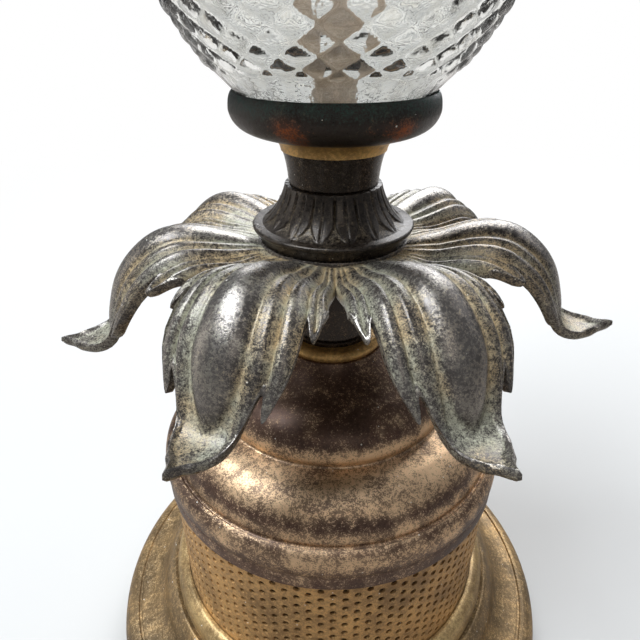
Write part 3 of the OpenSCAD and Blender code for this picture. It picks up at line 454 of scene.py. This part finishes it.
# Perforated drum: brass sheet with staggered holes, kept from the construction, in dull old lacquer.
drum_brass = old_metal("drum_brass_lacquer", (0.4, 0.23, 0.092), (0.86, 0.542, 0.224), (0.5, 0.36, 0.2),
                       wear=0.5, dusty_share=0.25, rough=0.5, bump=0.12)
dress("perforated_band", drum_brass)

# Base: a spun dish with a round rim band, an ogee flank and a flat deck, in worn bronze-gold lacquer.
base_paint = old_metal("base_lacquer", (0.17, 0.11, 0.05), (0.54, 0.34, 0.14), (0.6, 0.52, 0.36),
                       wear=0.42, dusty_share=0.16, rough=0.42, bump=0.12)
dress("base_shell", base_paint)
dress("base_weight", old_metal("black_iron", (0.04, 0.04, 0.04), (0.12, 0.1, 0.1), (0.2, 0.16, 0.12),
                               wear=0.3, dusty_share=0.2, rough=0.7, bump=0.4))

# Base ring: a golden cast ring that the drum stands in.
ring_r = band_r + 5.8
ring_paint = old_metal("ring_gold", (0.32, 0.21, 0.09), (0.68, 0.5, 0.24), (0.5, 0.42, 0.26),
                       wear=0.45, dusty_share=0.18, rough=0.38, bump=0.12)
base_ring = lathe("base_ring_gold", np.concatenate([
    [(band_r - 3, 0), (ring_r - 0.8, 0)],
    bend((ring_r, 1), (ring_r + 0.1, 8.2), (band_r + 1.4, 9.4), 14),
    [(band_r + 0.3, 9.2), (band_r + 0.3, 3.2), (band_r - 3, 3.2)]]), foot_of("base_ring"))
stands_for(base_ring, ring_paint, "lamp", "ring_brass", "base_ring")

# Felt pad, rod, nuts and washers under the base: plain hardware with zinc and brass finishes.
felt = bpy.data.materials.new("wool_felt")
felt.use_nodes = True
felt_tree = felt.node_tree
felt_shader = felt_tree.nodes["Principled BSDF"]
felt_coords = felt_tree.nodes.new("ShaderNodeTexCoord")
felt_fluff = noise(felt_tree, felt_coords.outputs["Object"], 900.0, 6.0, 0.7)
felt_colour = blend_colour(felt_tree, felt_fluff, (0.03, 0.06, 0.025, 1), (0.07, 0.12, 0.05, 1))
felt_tree.links.new(felt_colour, felt_shader.inputs["Base Color"])
felt_shader.inputs["Roughness"].default_value = 1.0
felt_shader.inputs["Sheen Weight"].default_value = 0.4
dress("felt_pad", felt)
zinc = old_metal("zinc_plate", (0.68, 0.68, 0.66), (0.86, 0.86, 0.826), (0.8, 0.76, 0.68),
                 wear=0.5, dusty_share=0.1, rough=0.35, bump=0.06)
plain_brass = old_metal("plain_brass", (0.86, 0.592, 0.21), (0.86, 0.638, 0.277), (0.7, 0.56, 0.32),
                        wear=0.5, dusty_share=0.08, rough=0.3, bump=0.06)
for node in ("bottom_washer", "saddle_washer", "switch_stem"):
    dress(node, zinc)
rod_r, rod_bore_r, rod_thread_h, rod_pitch = 4.85, 3.2, 14.0, 0.94
rod_lo, rod_hi = (v[2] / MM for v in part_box("threaded_rod"))
rod = lathe("threaded_rod_middle", [(rod_bore_r, 0), (rod_r - 0.3, 0), (rod_r - 0.3, rod_hi - rod_lo - 2 * rod_thread_h),
                                    (rod_bore_r, rod_hi - rod_lo - 2 * rod_thread_h)], rod_lo + rod_thread_h, 64)
stands_for(rod, zinc, "lamp", "rod_steel", "threaded_rod")
for label, foot in (("foot", rod_lo), ("head", rod_hi - rod_thread_h)):
    stands_for(threaded("threaded_rod_" + label, rod_r, rod_bore_r, foot, rod_thread_h, rod_pitch, 0.45),
               zinc, "lamp", "rod_steel")
for node in ("bottom_nut", "saddle_nut", "centre_contact", "terminal_screws"):
    dress(node, plain_brass)
black_nylon = old_metal("black_nylon", (0.03, 0.028, 0.026), (0.06, 0.056, 0.052), (0.4, 0.38, 0.34),
                        wear=0.1, dusty_share=0.12, rough=0.5, bump=0.05)
dress("cord_bushing", black_nylon)

# Bead ring and gold cove: small turned rings in mottled antique gold.
antique_gold = old_metal("antique_gold", (0.48, 0.28, 0.09), (0.86, 0.565, 0.221), (0.44, 0.32, 0.18),
                         wear=0.5, dusty_share=0.12, rough=0.4, bump=0.14)
bead_h = 4.4
bead = lathe("bead_ring_gold", np.concatenate([
    [(6, 0), (bead_r - 1.2, 0)],
    arc((bead_r - bead_h / 2, bead_h / 2), bead_h / 2, -60, 90, 16), [(6, bead_h)]]), foot_of("bead_ring"))
stands_for(bead, antique_gold, "lamp", "bead_gold", "bead_ring")
neck_top_r, cup_foot_r, cove_h = 16.1, 19.6, 4.2
cove = lathe("gold_cove_ring", np.concatenate([
    [(6, 0)], bend((neck_top_r + 0.3, 0), (neck_top_r + 0.6, cove_h * 0.6), (cup_foot_r - 0.2, cove_h), 12),
    [(6, cove_h)]]), foot_of("gold_cove"))
stands_for(cove, antique_gold, "lamp", "bead_gold", "gold_cove")

# Dark spindle sleeve, neck cone and upper neck: turned pieces in near black bronze paint.
dark_bronze = old_metal("dark_bronze", (0.028, 0.018, 0.012), (0.32, 0.2, 0.1), (0.4, 0.34, 0.24),
                        wear=0.1, dusty_share=0.0, rough=0.27, bump=0.1)
sleeve_r, sleeve_h = 13.6, 32.0
sleeve = lathe("spindle_sleeve_bronze", np.concatenate([
    [(6, 0), (sleeve_r + 1, 0), (sleeve_r + 1, 1.6)],
    bend((sleeve_r, 2), (sleeve_r - 1.4, sleeve_h - 12), (sleeve_r + 4.4, sleeve_h - 1.6), 20),
    [(sleeve_r + 4.4, sleeve_h), (6, sleeve_h)]]), foot_of("spindle_sleeve"), sharp=50)
stands_for(sleeve, dark_bronze, "lamp", "dark_bronze", "spindle_sleeve")
neck_r, neck_h = 14.3, 10.4
neck = lathe("neck_cone_bronze", np.concatenate([
    [(6, 0), (neck_r - 0.5, 0)], bend((neck_r - 0.2, 0.1), (neck_r, 0.2), (neck_r, 0.6), 4),
    bend((neck_r, 0.8), (neck_r + 0.5, neck_h * 0.7), (neck_top_r, neck_h), 12),
    [(6, neck_h)]]), foot_of("neck_cone"))
stands_for(neck, dark_bronze, "lamp", "dark_bronze", "neck_cone")
upper_neck_h = (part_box("upper_neck")[1][2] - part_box("upper_neck")[0][2]) / MM
upper_neck = lathe("upper_neck_bronze", np.concatenate([
    [(6, 0), (cup_foot_r - 0.8, 0)], arc((cup_foot_r - 1.1, 0.7), 0.7, -80, 80, 8),
    bend((cup_foot_r - 2, 2), (neck_r - 4, 4), (neck_r - 5, 10), 16),
    bend((neck_r - 5, 10.4), (neck_r - 4.6, upper_neck_h - 3.6), (neck_r - 1, upper_neck_h - 2.4), 12),
    [(neck_r - 1, upper_neck_h), (6, upper_neck_h)]]), foot_of("upper_neck"))
stands_for(upper_neck, dark_bronze, "lamp", "dark_bronze", "upper_neck")

# Leaf crown: one casting of seven hanging leaves. Along a leaf runs a path that turns downwards; across it lie
# ribs, each with its own length, so that their ends make the lobes and teeth of the outline.
leaf_root_r, leaf_t, leaf_rib, leaf_count = 22.0, 2.2, 2.8, 7
leaf_turn = np.array([(0, 10), (14, 14), (26, 5), (38, -36), (48, -51), (58, -73), (70, -70), (76, -27),
                      (82, 0), (91, 13)], float)
leaf_fan = np.array([(0, 1), (14.5, 1), (27, 0.89), (40, 0.89), (55, 0.84), (66, 0.7), (91, 0.41)], float)
leaf_arch = np.array([(0, 0.003), (14.5, 0.018), (30, 0.014), (44, 0.0085), (66, 0.003), (91, 0.004)], float)
leaf_fingers = np.array([
    (0, 91, 1), (0.1, 87, 0.94), (0.2, 85.5, 0.62), (0.29, 82.5, 0.1), (0.36, 80, 0.3), (0.43, 70.5, 0.4),
    (0.49, 63.5, 0.2), (0.53, 60, 0), (0.58, 66, 0.36), (0.63, 69.5, 0.44), (0.73, 57, 0.2),
    (0.77, 37.5, 0), (0.82, 44.5, 0.36), (0.87, 48, 0.1), (0.93, 41, 0.4), (1, 36, 0.05)], float)
# The leaves of an old casting are bent unequally: each rises (mm in 40) and swings (degrees) by its own amount
leaf_lift, leaf_swing = (4.5, 5.5, 0, 0, -4, 0, 5), (0, 1.5, 3.5, 0, 2, -3, 1)


def rounded(x, table, width):
    """The table's broken line at x, averaged over a window of the given width to round its corners."""
    offsets = np.linspace(-0.5, 0.5, 9) * width
    return np.mean([np.interp(x + d, table[:, 0], table[:, 1]) for d in offsets], 0)


def leaf_surface(t, v, lift, swing):
    """Points (mm) of a leaf's top and underside for the share t across (-1 to 1) and v along (0 to 1).
    A point at distance s = v L(t) goes along the path, out to the angle t times the fan, down by the arch
    times its distance from the middle squared, and up by the height of the rib that it lies on."""
    side, share = np.sign(t), np.abs(t)
    length = rounded(share, leaf_fingers[:, :2], 0.05)
    s = v * length
    steps = np.linspace(0, leaf_fingers[0, 1], 600)
    heading = np.radians(rounded(steps, leaf_turn, 6))
    ds = steps[1] - steps[0]
    path_r = leaf_root_r + np.concatenate([[0], np.cumsum(np.cos(heading[:-1])) * ds])
    path_z = np.concatenate([[0], np.cumsum(np.sin(heading[:-1])) * ds])
    r, z = np.interp(s, steps, path_r), np.interp(s, steps, path_z)
    z = z + lift * np.maximum(0, r - 36) / 40
    turn = np.interp(s, steps, heading)
    lean = np.radians(np.where(s < 14.5, 0, np.minimum(72, -rounded(np.minimum(s, 70), leaf_turn, 6)
                                                       * np.minimum(1, (s - 14.5) / 20))))
    lean = np.maximum(lean, 0)
    spread = np.radians(t * rounded(s, leaf_fan, 6) * 180 / leaf_count)
    angle = spread + np.radians(swing * np.clip((r - 45) / 20, 0, 1))
    drop = rounded(s, leaf_arch, 6) * (r * np.sin(spread)) ** 2
    ribs = np.stack([leaf_fingers[:, 0], leaf_fingers[:, 2]], 1)
    knots = np.interp(share, ribs[:, 0], np.arange(len(ribs)))
    low = np.floor(knots).astype(int).clip(0, len(ribs) - 2)
    rising = ribs[low + 1, 1] > ribs[low, 1]
    ease = np.where(rising, np.sin(np.pi / 2 * (knots - low)), 1 - np.cos(np.pi / 2 * (knots - low)))
    rib = 1.5 * (ribs[low, 1] * (1 - ease) + ribs[low + 1, 1] * ease) - 0.1
    swell = np.minimum(1, 0.25 + s / 30)
    nose_end = np.clip((s - 53) / 21, 0, 1)
    nose_half = 0.29 * np.sqrt(np.maximum(1e-6, 1 - nose_end ** 2))
    dome = np.maximum(0, 1 - (share / nose_half) ** 2) ** 0.62 * (1 - nose_end ** 5)
    rib = np.where(share < 0.29, np.maximum(0.1 * (share / 0.29) ** 2, dome), rib)
    edge = np.sin(np.pi * np.clip(1 - (length - s) / 3.4, 0, 1) * 0.86) * (s > 20)
    flat = np.minimum(1, s / 8)
    rise = (leaf_rib * rib * swell * (1 - edge) + 1.3 * edge) * flat

    def place(up):
        radius = r - drop * np.sin(lean) - up * np.sin(turn) * flat
        height = z - drop * np.cos(lean) + up * np.cos(turn)
        return np.stack([radius * np.cos(angle), radius * np.sin(angle), height], -1)

    crest = np.clip(rib, 0, 1)
    thin = np.clip(1 - (length - s) / 2.2, 0, 1) ** 2 * (s > 20)
    return place(rise), place(-leaf_t * (1 - 0.6 * thin)), crest, edge, s


def leaf_shell(lift, swing):
    """One leaf as a closed strip: its top, then its underside on the way back, with what its paint needs."""
    across, along = 121, 56
    t, v = np.meshgrid(np.linspace(-1, 1, across), np.linspace(0, 1, along) ** 0.85, indexing="ij")
    top, under, crest, edge, s = leaf_surface(t, v, lift, swing)
    shell = np.concatenate([top, under[:, ::-1]], 1)
    bare_dish = 0.7 * np.exp(-((s - 82) / 2.6) ** 2 - (t / 0.1) ** 2)
    hollow = np.clip(1 - crest * 1.6 - bare_dish, 0, 1) * (1 - np.clip(edge * 1.6, 0, 1))
    # Near the root the pale dust is laid on thicker: partly dust, partly painted light that brightens the root of each
    # leaf.
    hollow = np.clip(hollow + 0.35 * np.exp(-(s / 12) ** 2), 0, 1) * (1 - 0.3 * np.clip((s - 66) / 10, 0, 1))
    hollow = np.concatenate([hollow, np.full_like(hollow, 0.3)], 1)
    polish = np.concatenate([np.maximum(edge, np.clip(crest * 1.6 - 0.3, 0, 1)), np.zeros_like(edge)], 1)
    return shell, hollow, polish


leaf_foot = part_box("spindle_sleeve")[1][2] / MM
leaf_top_z = leaf_foot + 4 - 1.2
leaf_bronze = old_metal("leaf_bronze", (0.08, 0.07, 0.064), (0.3, 0.28, 0.26), (0.84, 0.64, 0.36),
                        wear=0.12, dusty_share=0.17, rough=0.27, bump=0.16, hollow="hollow", wear_map="polish",
                        bloom=(0.62, 0.62, 0.47))


def shells_mesh(name, shells, turns, attributes):
    """One mesh of closed strips of quads, shells[k][u, v], each turned by the angle turns[k] (radians)."""
    nu, nv = shells[0].shape[:2]
    rows = []
    for shell, a in zip(shells, turns):
        c, s = math.cos(a), math.sin(a)
        x, y, z = shell[..., 0], shell[..., 1], shell[..., 2]
        rows.append(np.stack([x * c - y * s, x * s + y * c, z], -1))
    points = np.concatenate(rows).reshape(-1, 3)
    a, b = np.meshgrid(np.arange(nu - 1), np.arange(nv), indexing="ij")
    b2 = (b + 1) % nv
    quad = np.stack([a * nv + b, (a + 1) * nv + b, (a + 1) * nv + b2, a * nv + b2], -1).reshape(-1, 4)
    ends = []
    half = nv // 2
    for u, flip in ((0, False), (nu - 1, True)):
        k = np.arange(half - 1)
        strip = np.stack([u * nv + k, u * nv + k + 1, u * nv + nv - 2 - k, u * nv + nv - 1 - k], -1)
        ends.append(strip[:, ::-1] if flip else strip)
    one = np.concatenate([quad, *ends])
    quads = np.concatenate([one + k * nu * nv for k in range(len(turns))])
    mesh = bpy.data.meshes.new(name)
    mesh.vertices.add(len(points))
    mesh.vertices.foreach_set("co", (points * MM).astype(np.float32).ravel())
    mesh.loops.add(quads.size)
    mesh.loops.foreach_set("vertex_index", quads.astype(np.int32).ravel())
    mesh.polygons.add(len(quads))
    mesh.polygons.foreach_set("loop_start", np.arange(0, quads.size, 4, dtype=np.int32))
    mesh.update(calc_edges=True)
    for label, values in attributes.items():
        layer = mesh.attributes.new(label, "FLOAT", "POINT")
        layer.data.foreach_set("value", np.concatenate([v.ravel() for v in values]).astype(np.float32))
    mesh.polygons.foreach_set("use_smooth", np.ones(len(mesh.polygons), bool))
    mesh.set_sharp_from_angle(angle=math.radians(50))
    obj = bpy.data.objects.new(name, mesh)
    bpy.context.scene.collection.objects.link(obj)
    return obj


leaf_turns = [math.radians(-90 + (k + 0.5) * 360 / leaf_count) for k in range(leaf_count)]
leaf_parts = [leaf_shell(lift, swing) for lift, swing in zip(leaf_lift, leaf_swing)]
leaves = shells_mesh("leaf_crown_leaves", [part[0] + (0, 0, leaf_top_z) for part in leaf_parts], leaf_turns,
                     {"hollow": [part[1] for part in leaf_parts], "polish": [part[2] for part in leaf_parts]})
stands_for(leaves, leaf_bronze, "lamp", "leaf_metal", "leaf_crown")
hub = lathe("leaf_crown_hub", [(6, 0), (24.5, 0), (24.8, 0.4), (24.8, 3.6), (24.5, 4), (6, 4)], leaf_foot, sharp=50)
stands_for(hub, leaf_bronze, "lamp", "leaf_metal")

# Leaf collar: a flared casting with a plain lip and upright lance leaves in low relief.
collar_h, collar_foot_r, collar_lip_r, collar_top_r, flare_r = 17.5, 24.0, 26.6, 15.0, 21.5
flare_c = (collar_top_r + flare_r, collar_h + 4.6)
collar_line = np.concatenate([
    [(6, 0), (collar_foot_r - 0.4, 0), (collar_foot_r, 0.4), (collar_foot_r, 3.2)],
    bend((collar_lip_r - 0.6, 3.5), (collar_lip_r + 0.3, 4.6), (collar_lip_r - 0.8, 5.2), 8),
    arc(flare_c, flare_r, 232, 193, 60), [(collar_top_r + 0.4, collar_h), (6, collar_h)]])
collar_segments = 480
collar_a = np.linspace(0, 2 * np.pi, collar_segments, endpoint=False)[:, None]
collar_leaves = 16
phase = np.abs(((collar_a * collar_leaves / (2 * np.pi)) % 1) - 0.5) * 2
level = (collar_line[None, :, 1] - 5.2) / (collar_h - 5.2)
on_flare = np.clip(level * 9, 0, 1) * np.clip((1 - level) * 6, 0, 1) * (collar_line[None, :, 0] > 7)
leaf_edge = np.clip(1.15 - np.clip(level, 0, 1) * 0.2, 0, 1) * np.clip(level * 3.2, 0, 1) ** 0.5
relief = np.clip((leaf_edge - phase) * 6, 0, 1) * (1 - 0.55 * np.exp(-(phase / 0.1) ** 2))
collar_depth = (relief - 1.0) * 0.75 * on_flare
collar_points = np.stack([
    (collar_line[None, :, 0] + collar_depth) * np.cos(collar_a),
    (collar_line[None, :, 0] + collar_depth) * np.sin(collar_a),
    np.broadcast_to(collar_line[None, :, 1] + foot_of("leaf_collar"), (collar_segments, len(collar_line)))], -1)
collar = grid_mesh("leaf_collar_casting", collar_points, wrap_u=True, wrap_v=True, sharp=60,
                   attributes={"hollow": (1 - relief) * on_flare * 0.5})
stands_for(collar, old_metal("collar_bronze", (0.036, 0.028, 0.022), (0.24, 0.18, 0.12), (0.4, 0.32, 0.2),
                             wear=0.1, dusty_share=0.03, rough=0.32, bump=0.14, hollow="hollow"),
           "lamp", "dark_bronze", "leaf_collar")

# Fitter rings: fat rounded cups above and below the glass, verdigris at the glass line and rust in patches.
cup_r, cup_h, glass_foot_r, glass_sink = 31.4, 12.7, 29.4, 3.0
cup_line = np.concatenate([
    [(6, 0), (cup_foot_r, 0)],
    bend((cup_foot_r + 0.6, 0.3), (cup_r - 1, 1.2), (cup_r, cup_h - 5), 20),
    bend((cup_r, cup_h - 4.6), (cup_r - 0.1, cup_h - 1), (glass_foot_r + 0.7, cup_h), 14),
    [(glass_foot_r + 0.3, cup_h - 0.4), (glass_foot_r + 0.3, cup_h - 3.8), (glass_foot_r - 5, cup_h - 3.8),
     (glass_foot_r - 5, 3), (6, 3)]])
cup_paint = old_metal("cup_bronze", (0.024, 0.016, 0.012), (0.4, 0.11, 0.036), (0.02, 0.076, 0.064),
                      wear=0.05, dusty_share=0.0, rough=0.36, bump=0.3, hollow="hollow", wear_map="rust")
cup_turn = np.linspace(0, 360, 240, endpoint=False)[:, None]
cup_rust = sum(np.exp(-(((cup_turn - turn + 180) % 360 - 180) / width) ** 2)
               for turn, width in ((246, 11), (305, 15), (20, 14), (95, 18), (160, 9)))
cup_green = 0.9 * band_of(cup_line[:, 1], cup_h - 2, cup_h + 1, 5)
cup_rust = cup_rust * (1 - 0.6 * cup_green)
lower_cup = lathe("lower_cup_ring", cup_line, foot_of("lower_cup"), along={"hollow": cup_green, "rust": cup_rust})
stands_for(lower_cup, cup_paint, "lamp", "cup_metal", "lower_cup")
upper_line = cup_line[::-1] * np.array([1, -1])
upper_cup = lathe("upper_cup_ring", upper_line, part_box("upper_cup")[1][2] / MM,
                  along={"hollow": cup_green[::-1], "rust": cup_rust[::-1, ::-1]})
stands_for(upper_cup, cup_paint, "lamp", "cup_metal", "upper_cup")
cork = old_metal("cork_sheet", (0.48, 0.3, 0.16), (0.8, 0.56, 0.32), (0.86, 0.688, 0.42),
                 wear=0.4, dusty_share=0.2, rough=0.8, bump=0.3)
dress("lower_gasket", cork)
dress("upper_gasket", cork)

# Glass body: a pressed ovoid with a lattice of raised ridges round sunk diamond pockets, plain at both feet.
glass_r, glass_h, glass_t, diamonds, glass_band = 62.6, 194.0, 4.0, 26, 5.3
glass_lo, glass_hi = (v[2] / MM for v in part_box("glass_body"))
glass_mid = (glass_lo + glass_hi) / 2
glass_b = (glass_h / 2) / math.sqrt(1 - (glass_foot_r / glass_r) ** 2)


def glass_radius(z):
    """Radius of the ellipse of revolution at the height z (mm)."""
    return glass_r * np.sqrt(1 - np.minimum(np.abs(z - glass_mid) / glass_b, 0.999) ** 2)


def glass_mesh():
    """Outside with the diamond lattice, foot bands and a smooth inside, as one closed surface.
    Half rows of the lattice are counted by the integral of ds / r, so that all diamonds keep one shape."""
    half = glass_h / 2 - glass_band
    z = np.linspace(-half, half, 4001)
    r = glass_radius(z + glass_mid)
    ds = np.sqrt(np.diff(z) ** 2 + np.diff(r) ** 2)
    rows = np.concatenate([[0], np.cumsum(ds / (0.5 * (r[1:] + r[:-1])))])
    count = round(rows[-1] / (0.8 * np.pi / diamonds))
    count += count % 2
    rows *= count / rows[-1]
    wanted = np.linspace(0, count, 7 * count + 1)
    zz = np.interp(wanted, rows, z) + glass_mid
    a = np.linspace(0, 2 * np.pi, 11 * diamonds, endpoint=False)[:, None]
    across = a * diamonds / (2 * np.pi)
    # Two families of diagonal lines part the diamonds; each swells to a soft point between them
    p, q = across + wanted / 2, across - wanted / 2
    dp, dq = np.abs(p % 1 - 0.5) * 2, np.abs(q % 1 - 0.5) * 2
    fade = np.clip(np.minimum(wanted, count - wanted) / 0.6, 0, 1)
    rise = 0.2 * glass_radius(zz) * np.pi / diamonds * ((1 - dp ** 2) * (1 - dq ** 2)) ** 0.75 * fade
    slope = np.gradient(glass_radius(zz), zz)
    norm = np.sqrt(1 + slope ** 2)
    rr = glass_radius(zz) + rise / norm
    hz = np.broadcast_to(zz, rr.shape) - rise * slope / norm
    outer = np.stack([rr * np.cos(a), rr * np.sin(a), hz], -1)

    def ring(radius, height):
        return np.stack([radius * np.cos(a), radius * np.sin(a), np.full_like(a, height)], -1)

    inner_z = glass_mid + half * np.cos(np.linspace(0, np.pi, 41))
    inner_r = np.maximum(glass_radius(inner_z) - glass_t, glass_foot_r - glass_t)
    feet = [ring(glass_foot_r - 0.5, glass_lo), ring(glass_foot_r, glass_lo + 0.5), ring(glass_foot_r, glass_lo + 3.2)]
    heads = [ring(glass_foot_r, glass_hi - 3.2), ring(glass_foot_r, glass_hi - 0.5), ring(glass_foot_r - 0.5, glass_hi),
             ring(glass_foot_r - glass_t, glass_hi)]
    inside = [ring(radius, height) for radius, height in zip(inner_r, inner_z)]
    base = [ring(glass_foot_r - glass_t, glass_lo)]
    return np.concatenate([*feet, outer, *heads, *inside, *base], 1)


glass = grid_mesh("glass_body_pressed", glass_mesh(), wrap_u=True, wrap_v=True, sharp=180)
clear = bpy.data.materials.new("pressed_glass")
clear.use_nodes = True
clear_tree = clear.node_tree
clear_shader = clear_tree.nodes["Principled BSDF"]
clear_coords = clear_tree.nodes.new("ShaderNodeTexCoord")
grime = noise(clear_tree, clear_coords.outputs["Object"], 160.0, 5.0, 0.6)
clear_colour = blend_colour(clear_tree, remap(clear_tree, grime, 0.45, 0.75), (0.95, 0.96, 0.945, 1), (0.88, 0.86, 0.79, 1))
clear_tree.links.new(clear_colour, clear_shader.inputs["Base Color"])
clear_tree.links.new(remap(clear_tree, grime, 0.4, 0.7, 0.03, 0.12), clear_shader.inputs["Roughness"])
clear_shader.inputs["Transmission Weight"].default_value = 1.0
clear_shader.inputs["IOR"].default_value = 1.5
ripple = clear_tree.nodes.new("ShaderNodeBump")
ripple.inputs["Strength"].default_value = 0.25
ripple.inputs["Distance"].default_value = 0.0008
clear_tree.links.new(noise(clear_tree, clear_coords.outputs["Object"], 260.0, 2.0, 0.5), ripple.inputs["Height"])
clear_tree.links.new(ripple.outputs["Normal"], clear_shader.inputs["Normal"])
stands_for(glass, clear, "lamp", "clear_glass", "glass_body")

# Centre tube: a half inch tube in dull plate, stained brown, seen through the glass.
dress("centre_tube", old_metal("tube_plate", (0.52, 0.4, 0.3), (0.86, 0.791, 0.688), (0.6, 0.52, 0.4),
                               wear=0.4, dusty_share=0.25, rough=0.4, bump=0.1))

# Harp: tarnished brass wire bent to a loop on a bent strip, with a disc and a stud for the shade.
harp_brass = old_metal("harp_brass", (0.4, 0.28, 0.12), (0.86, 0.654, 0.292), (0.5, 0.4, 0.24),
                       wear=0.5, dusty_share=0.1, rough=0.34, bump=0.08)
dress("harp_saddle", harp_brass)
wire_r, foot_r, foot_h, leg_x, half_w, shoulder_r, side_lean = 1.7, 2.8, 20.0, 34.0, 56.0, 40.0, 4.0
disc_t, stud_r, stud_h = 2.4, 3.15, 11.0
harp_lo, harp_hi = (v[2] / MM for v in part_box("harp"))
harp_top = harp_hi - stud_h - disc_t
shoulder_turn = math.degrees(math.acos(1 - (half_w - leg_x) / (2 * shoulder_r)))
shoulder_z = harp_lo + foot_h + 6
widest_z = shoulder_z + 2 * shoulder_r * math.sin(math.radians(shoulder_turn))
lean_sin, lean_cos = math.sin(math.radians(side_lean)), math.cos(math.radians(side_lean))
side_rise = harp_top - widest_z - shoulder_r * lean_sin
bow_r = ((half_w - shoulder_r * (1 - lean_cos) - side_rise * lean_sin / lean_cos)
         / (lean_cos - lean_sin / lean_cos * (1 - lean_sin)))


def harp_wire():
    """A round wire along the loop: shoulder and side arcs and a bow, mirrored, with a circle at each point."""
    right = np.concatenate([
        [(leg_x, harp_lo + foot_h - 2)],
        arc((leg_x + shoulder_r, shoulder_z), shoulder_r, 180, 180 - shoulder_turn, 16),
        arc((half_w - shoulder_r, widest_z), shoulder_r, -shoulder_turn, side_lean, 20)[1:],
        arc((0, harp_top - bow_r), bow_r, side_lean, 90, 40)])
    line = np.concatenate([right, right[-2::-1] * np.array([-1, 1])])
    along = np.gradient(line, axis=0)
    side = np.stack([along[:, 1], -along[:, 0]], 1) / np.linalg.norm(along, axis=1)[:, None]
    a = np.linspace(0, 2 * np.pi, 20, endpoint=False)[:, None, None]
    place = line[None] + wire_r * np.cos(a) * side[None]
    depth = np.broadcast_to(wire_r * np.sin(a), place[..., :1].shape)
    return np.concatenate([place[..., :1], depth, place[..., 1:]], -1)


stands_for(grid_mesh("harp_wire", harp_wire(), wrap_u=True), harp_brass, "lamp", "harp_brass", "harp")
foot_line = [(0.1, 0), (foot_r - 0.5, 0), (foot_r, 0.5), (foot_r, foot_h - 1.2), (wire_r + 0.1, foot_h), (0.1, foot_h)]
for label, x in (("left", -leg_x), ("right", leg_x)):
    stands_for(lathe("harp_foot_" + label, foot_line, harp_lo, 48, x=x), harp_brass, "lamp", "harp_brass")
stands_for(lathe("harp_disc", np.concatenate([
    [(0.1, -wire_r), (5.6, -wire_r), (6.7, 0)], arc((6.3, disc_t / 2 + 0.2), 0.7, -50, 90, 6),
    [(stud_r - 0.4, disc_t), (0.1, disc_t)]]), harp_top, 64), harp_brass, "lamp", "harp_brass")
stands_for(threaded("harp_stud", stud_r, 0.1, harp_top + disc_t, stud_h, 0.94, 0.45), harp_brass, "lamp", "harp_brass")
ferrule_h = 14.0
ferrule_line = np.concatenate([[(foot_r + 0.15, 0)], arc((foot_r + 0.8, 0.5), 0.5, -90, 0, 5),
                               [(foot_r + 1.15, 1.6), (foot_r + 1.15, ferrule_h - 1.6)],
                               arc((foot_r + 0.8, ferrule_h - 0.5), 0.5, 0, 90, 5), [(foot_r + 0.15, ferrule_h)]])
for label, x in (("left", -leg_x), ("right", leg_x)):
    node = "ferrule_" + label
    stands_for(lathe(node + "_spun", ferrule_line, foot_of(node), 64, x=x), harp_brass, label + "_lock", "harp_brass", node)

# Socket: thin brass cap and shell, a fibre liner, a porcelain core and a screw shell.
socket_brass = old_metal("socket_brass", (0.72, 0.5, 0.18), (0.86, 0.645, 0.272), (0.6, 0.48, 0.28),
                         wear=0.5, dusty_share=0.08, rough=0.3, bump=0.06)
for node in ("socket_cap", "socket_shell"):
    dress(node, socket_brass)
screw_lo, screw_hi = (v[2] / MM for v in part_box("screw_shell"))
stands_for(threaded("screw_shell_rolled", 13.8, 13.3, screw_lo, screw_hi - screw_lo, 3.6, 0.7, wall=0.3, turns=96),
           plain_brass, "lamp", "contact_brass", "screw_shell")
dress("socket_insulator", old_metal("fibre_liner", (0.14, 0.1, 0.07), (0.28, 0.2, 0.14), (0.4, 0.34, 0.26),
                                    wear=0.3, dusty_share=0.2, rough=0.8, bump=0.2))
dress("socket_core", old_metal("porcelain", (0.86, 0.805, 0.694), (0.86, 0.823, 0.737), (0.86, 0.764, 0.612),
                               wear=0.4, dusty_share=0.15, rough=0.5, bump=0.1))
dress("switch_knob", old_metal("brown_phenolic", (0.04, 0.024, 0.018), (0.1, 0.06, 0.04), (0.3, 0.24, 0.2),
                               wear=0.2, dusty_share=0.05, rough=0.25, bump=0.04))
finial_line = np.concatenate([
    [(stud_r + 0.05, 0), (7.4, 0)], bend((7.6, 0.4), (7.8, 3), (5.4, 3.4), 8), bend((4.4, 4), (3.6, 6), (5, 8), 10),
    bend((6, 8.6), (11.4, 13), (8.4, 19), 20), bend((7.6, 20.4), (4, 24), (2.2, 25), 10),
    [(1.8, 27), (1.2, 28), (0.1, 28.4), (0.1, stud_h + 1), (stud_r + 0.05, stud_h + 1)]])
stands_for(lathe("finial_turned", finial_line, foot_of("finial"), 96), antique_gold, "top_knob", "bead_gold", "finial")
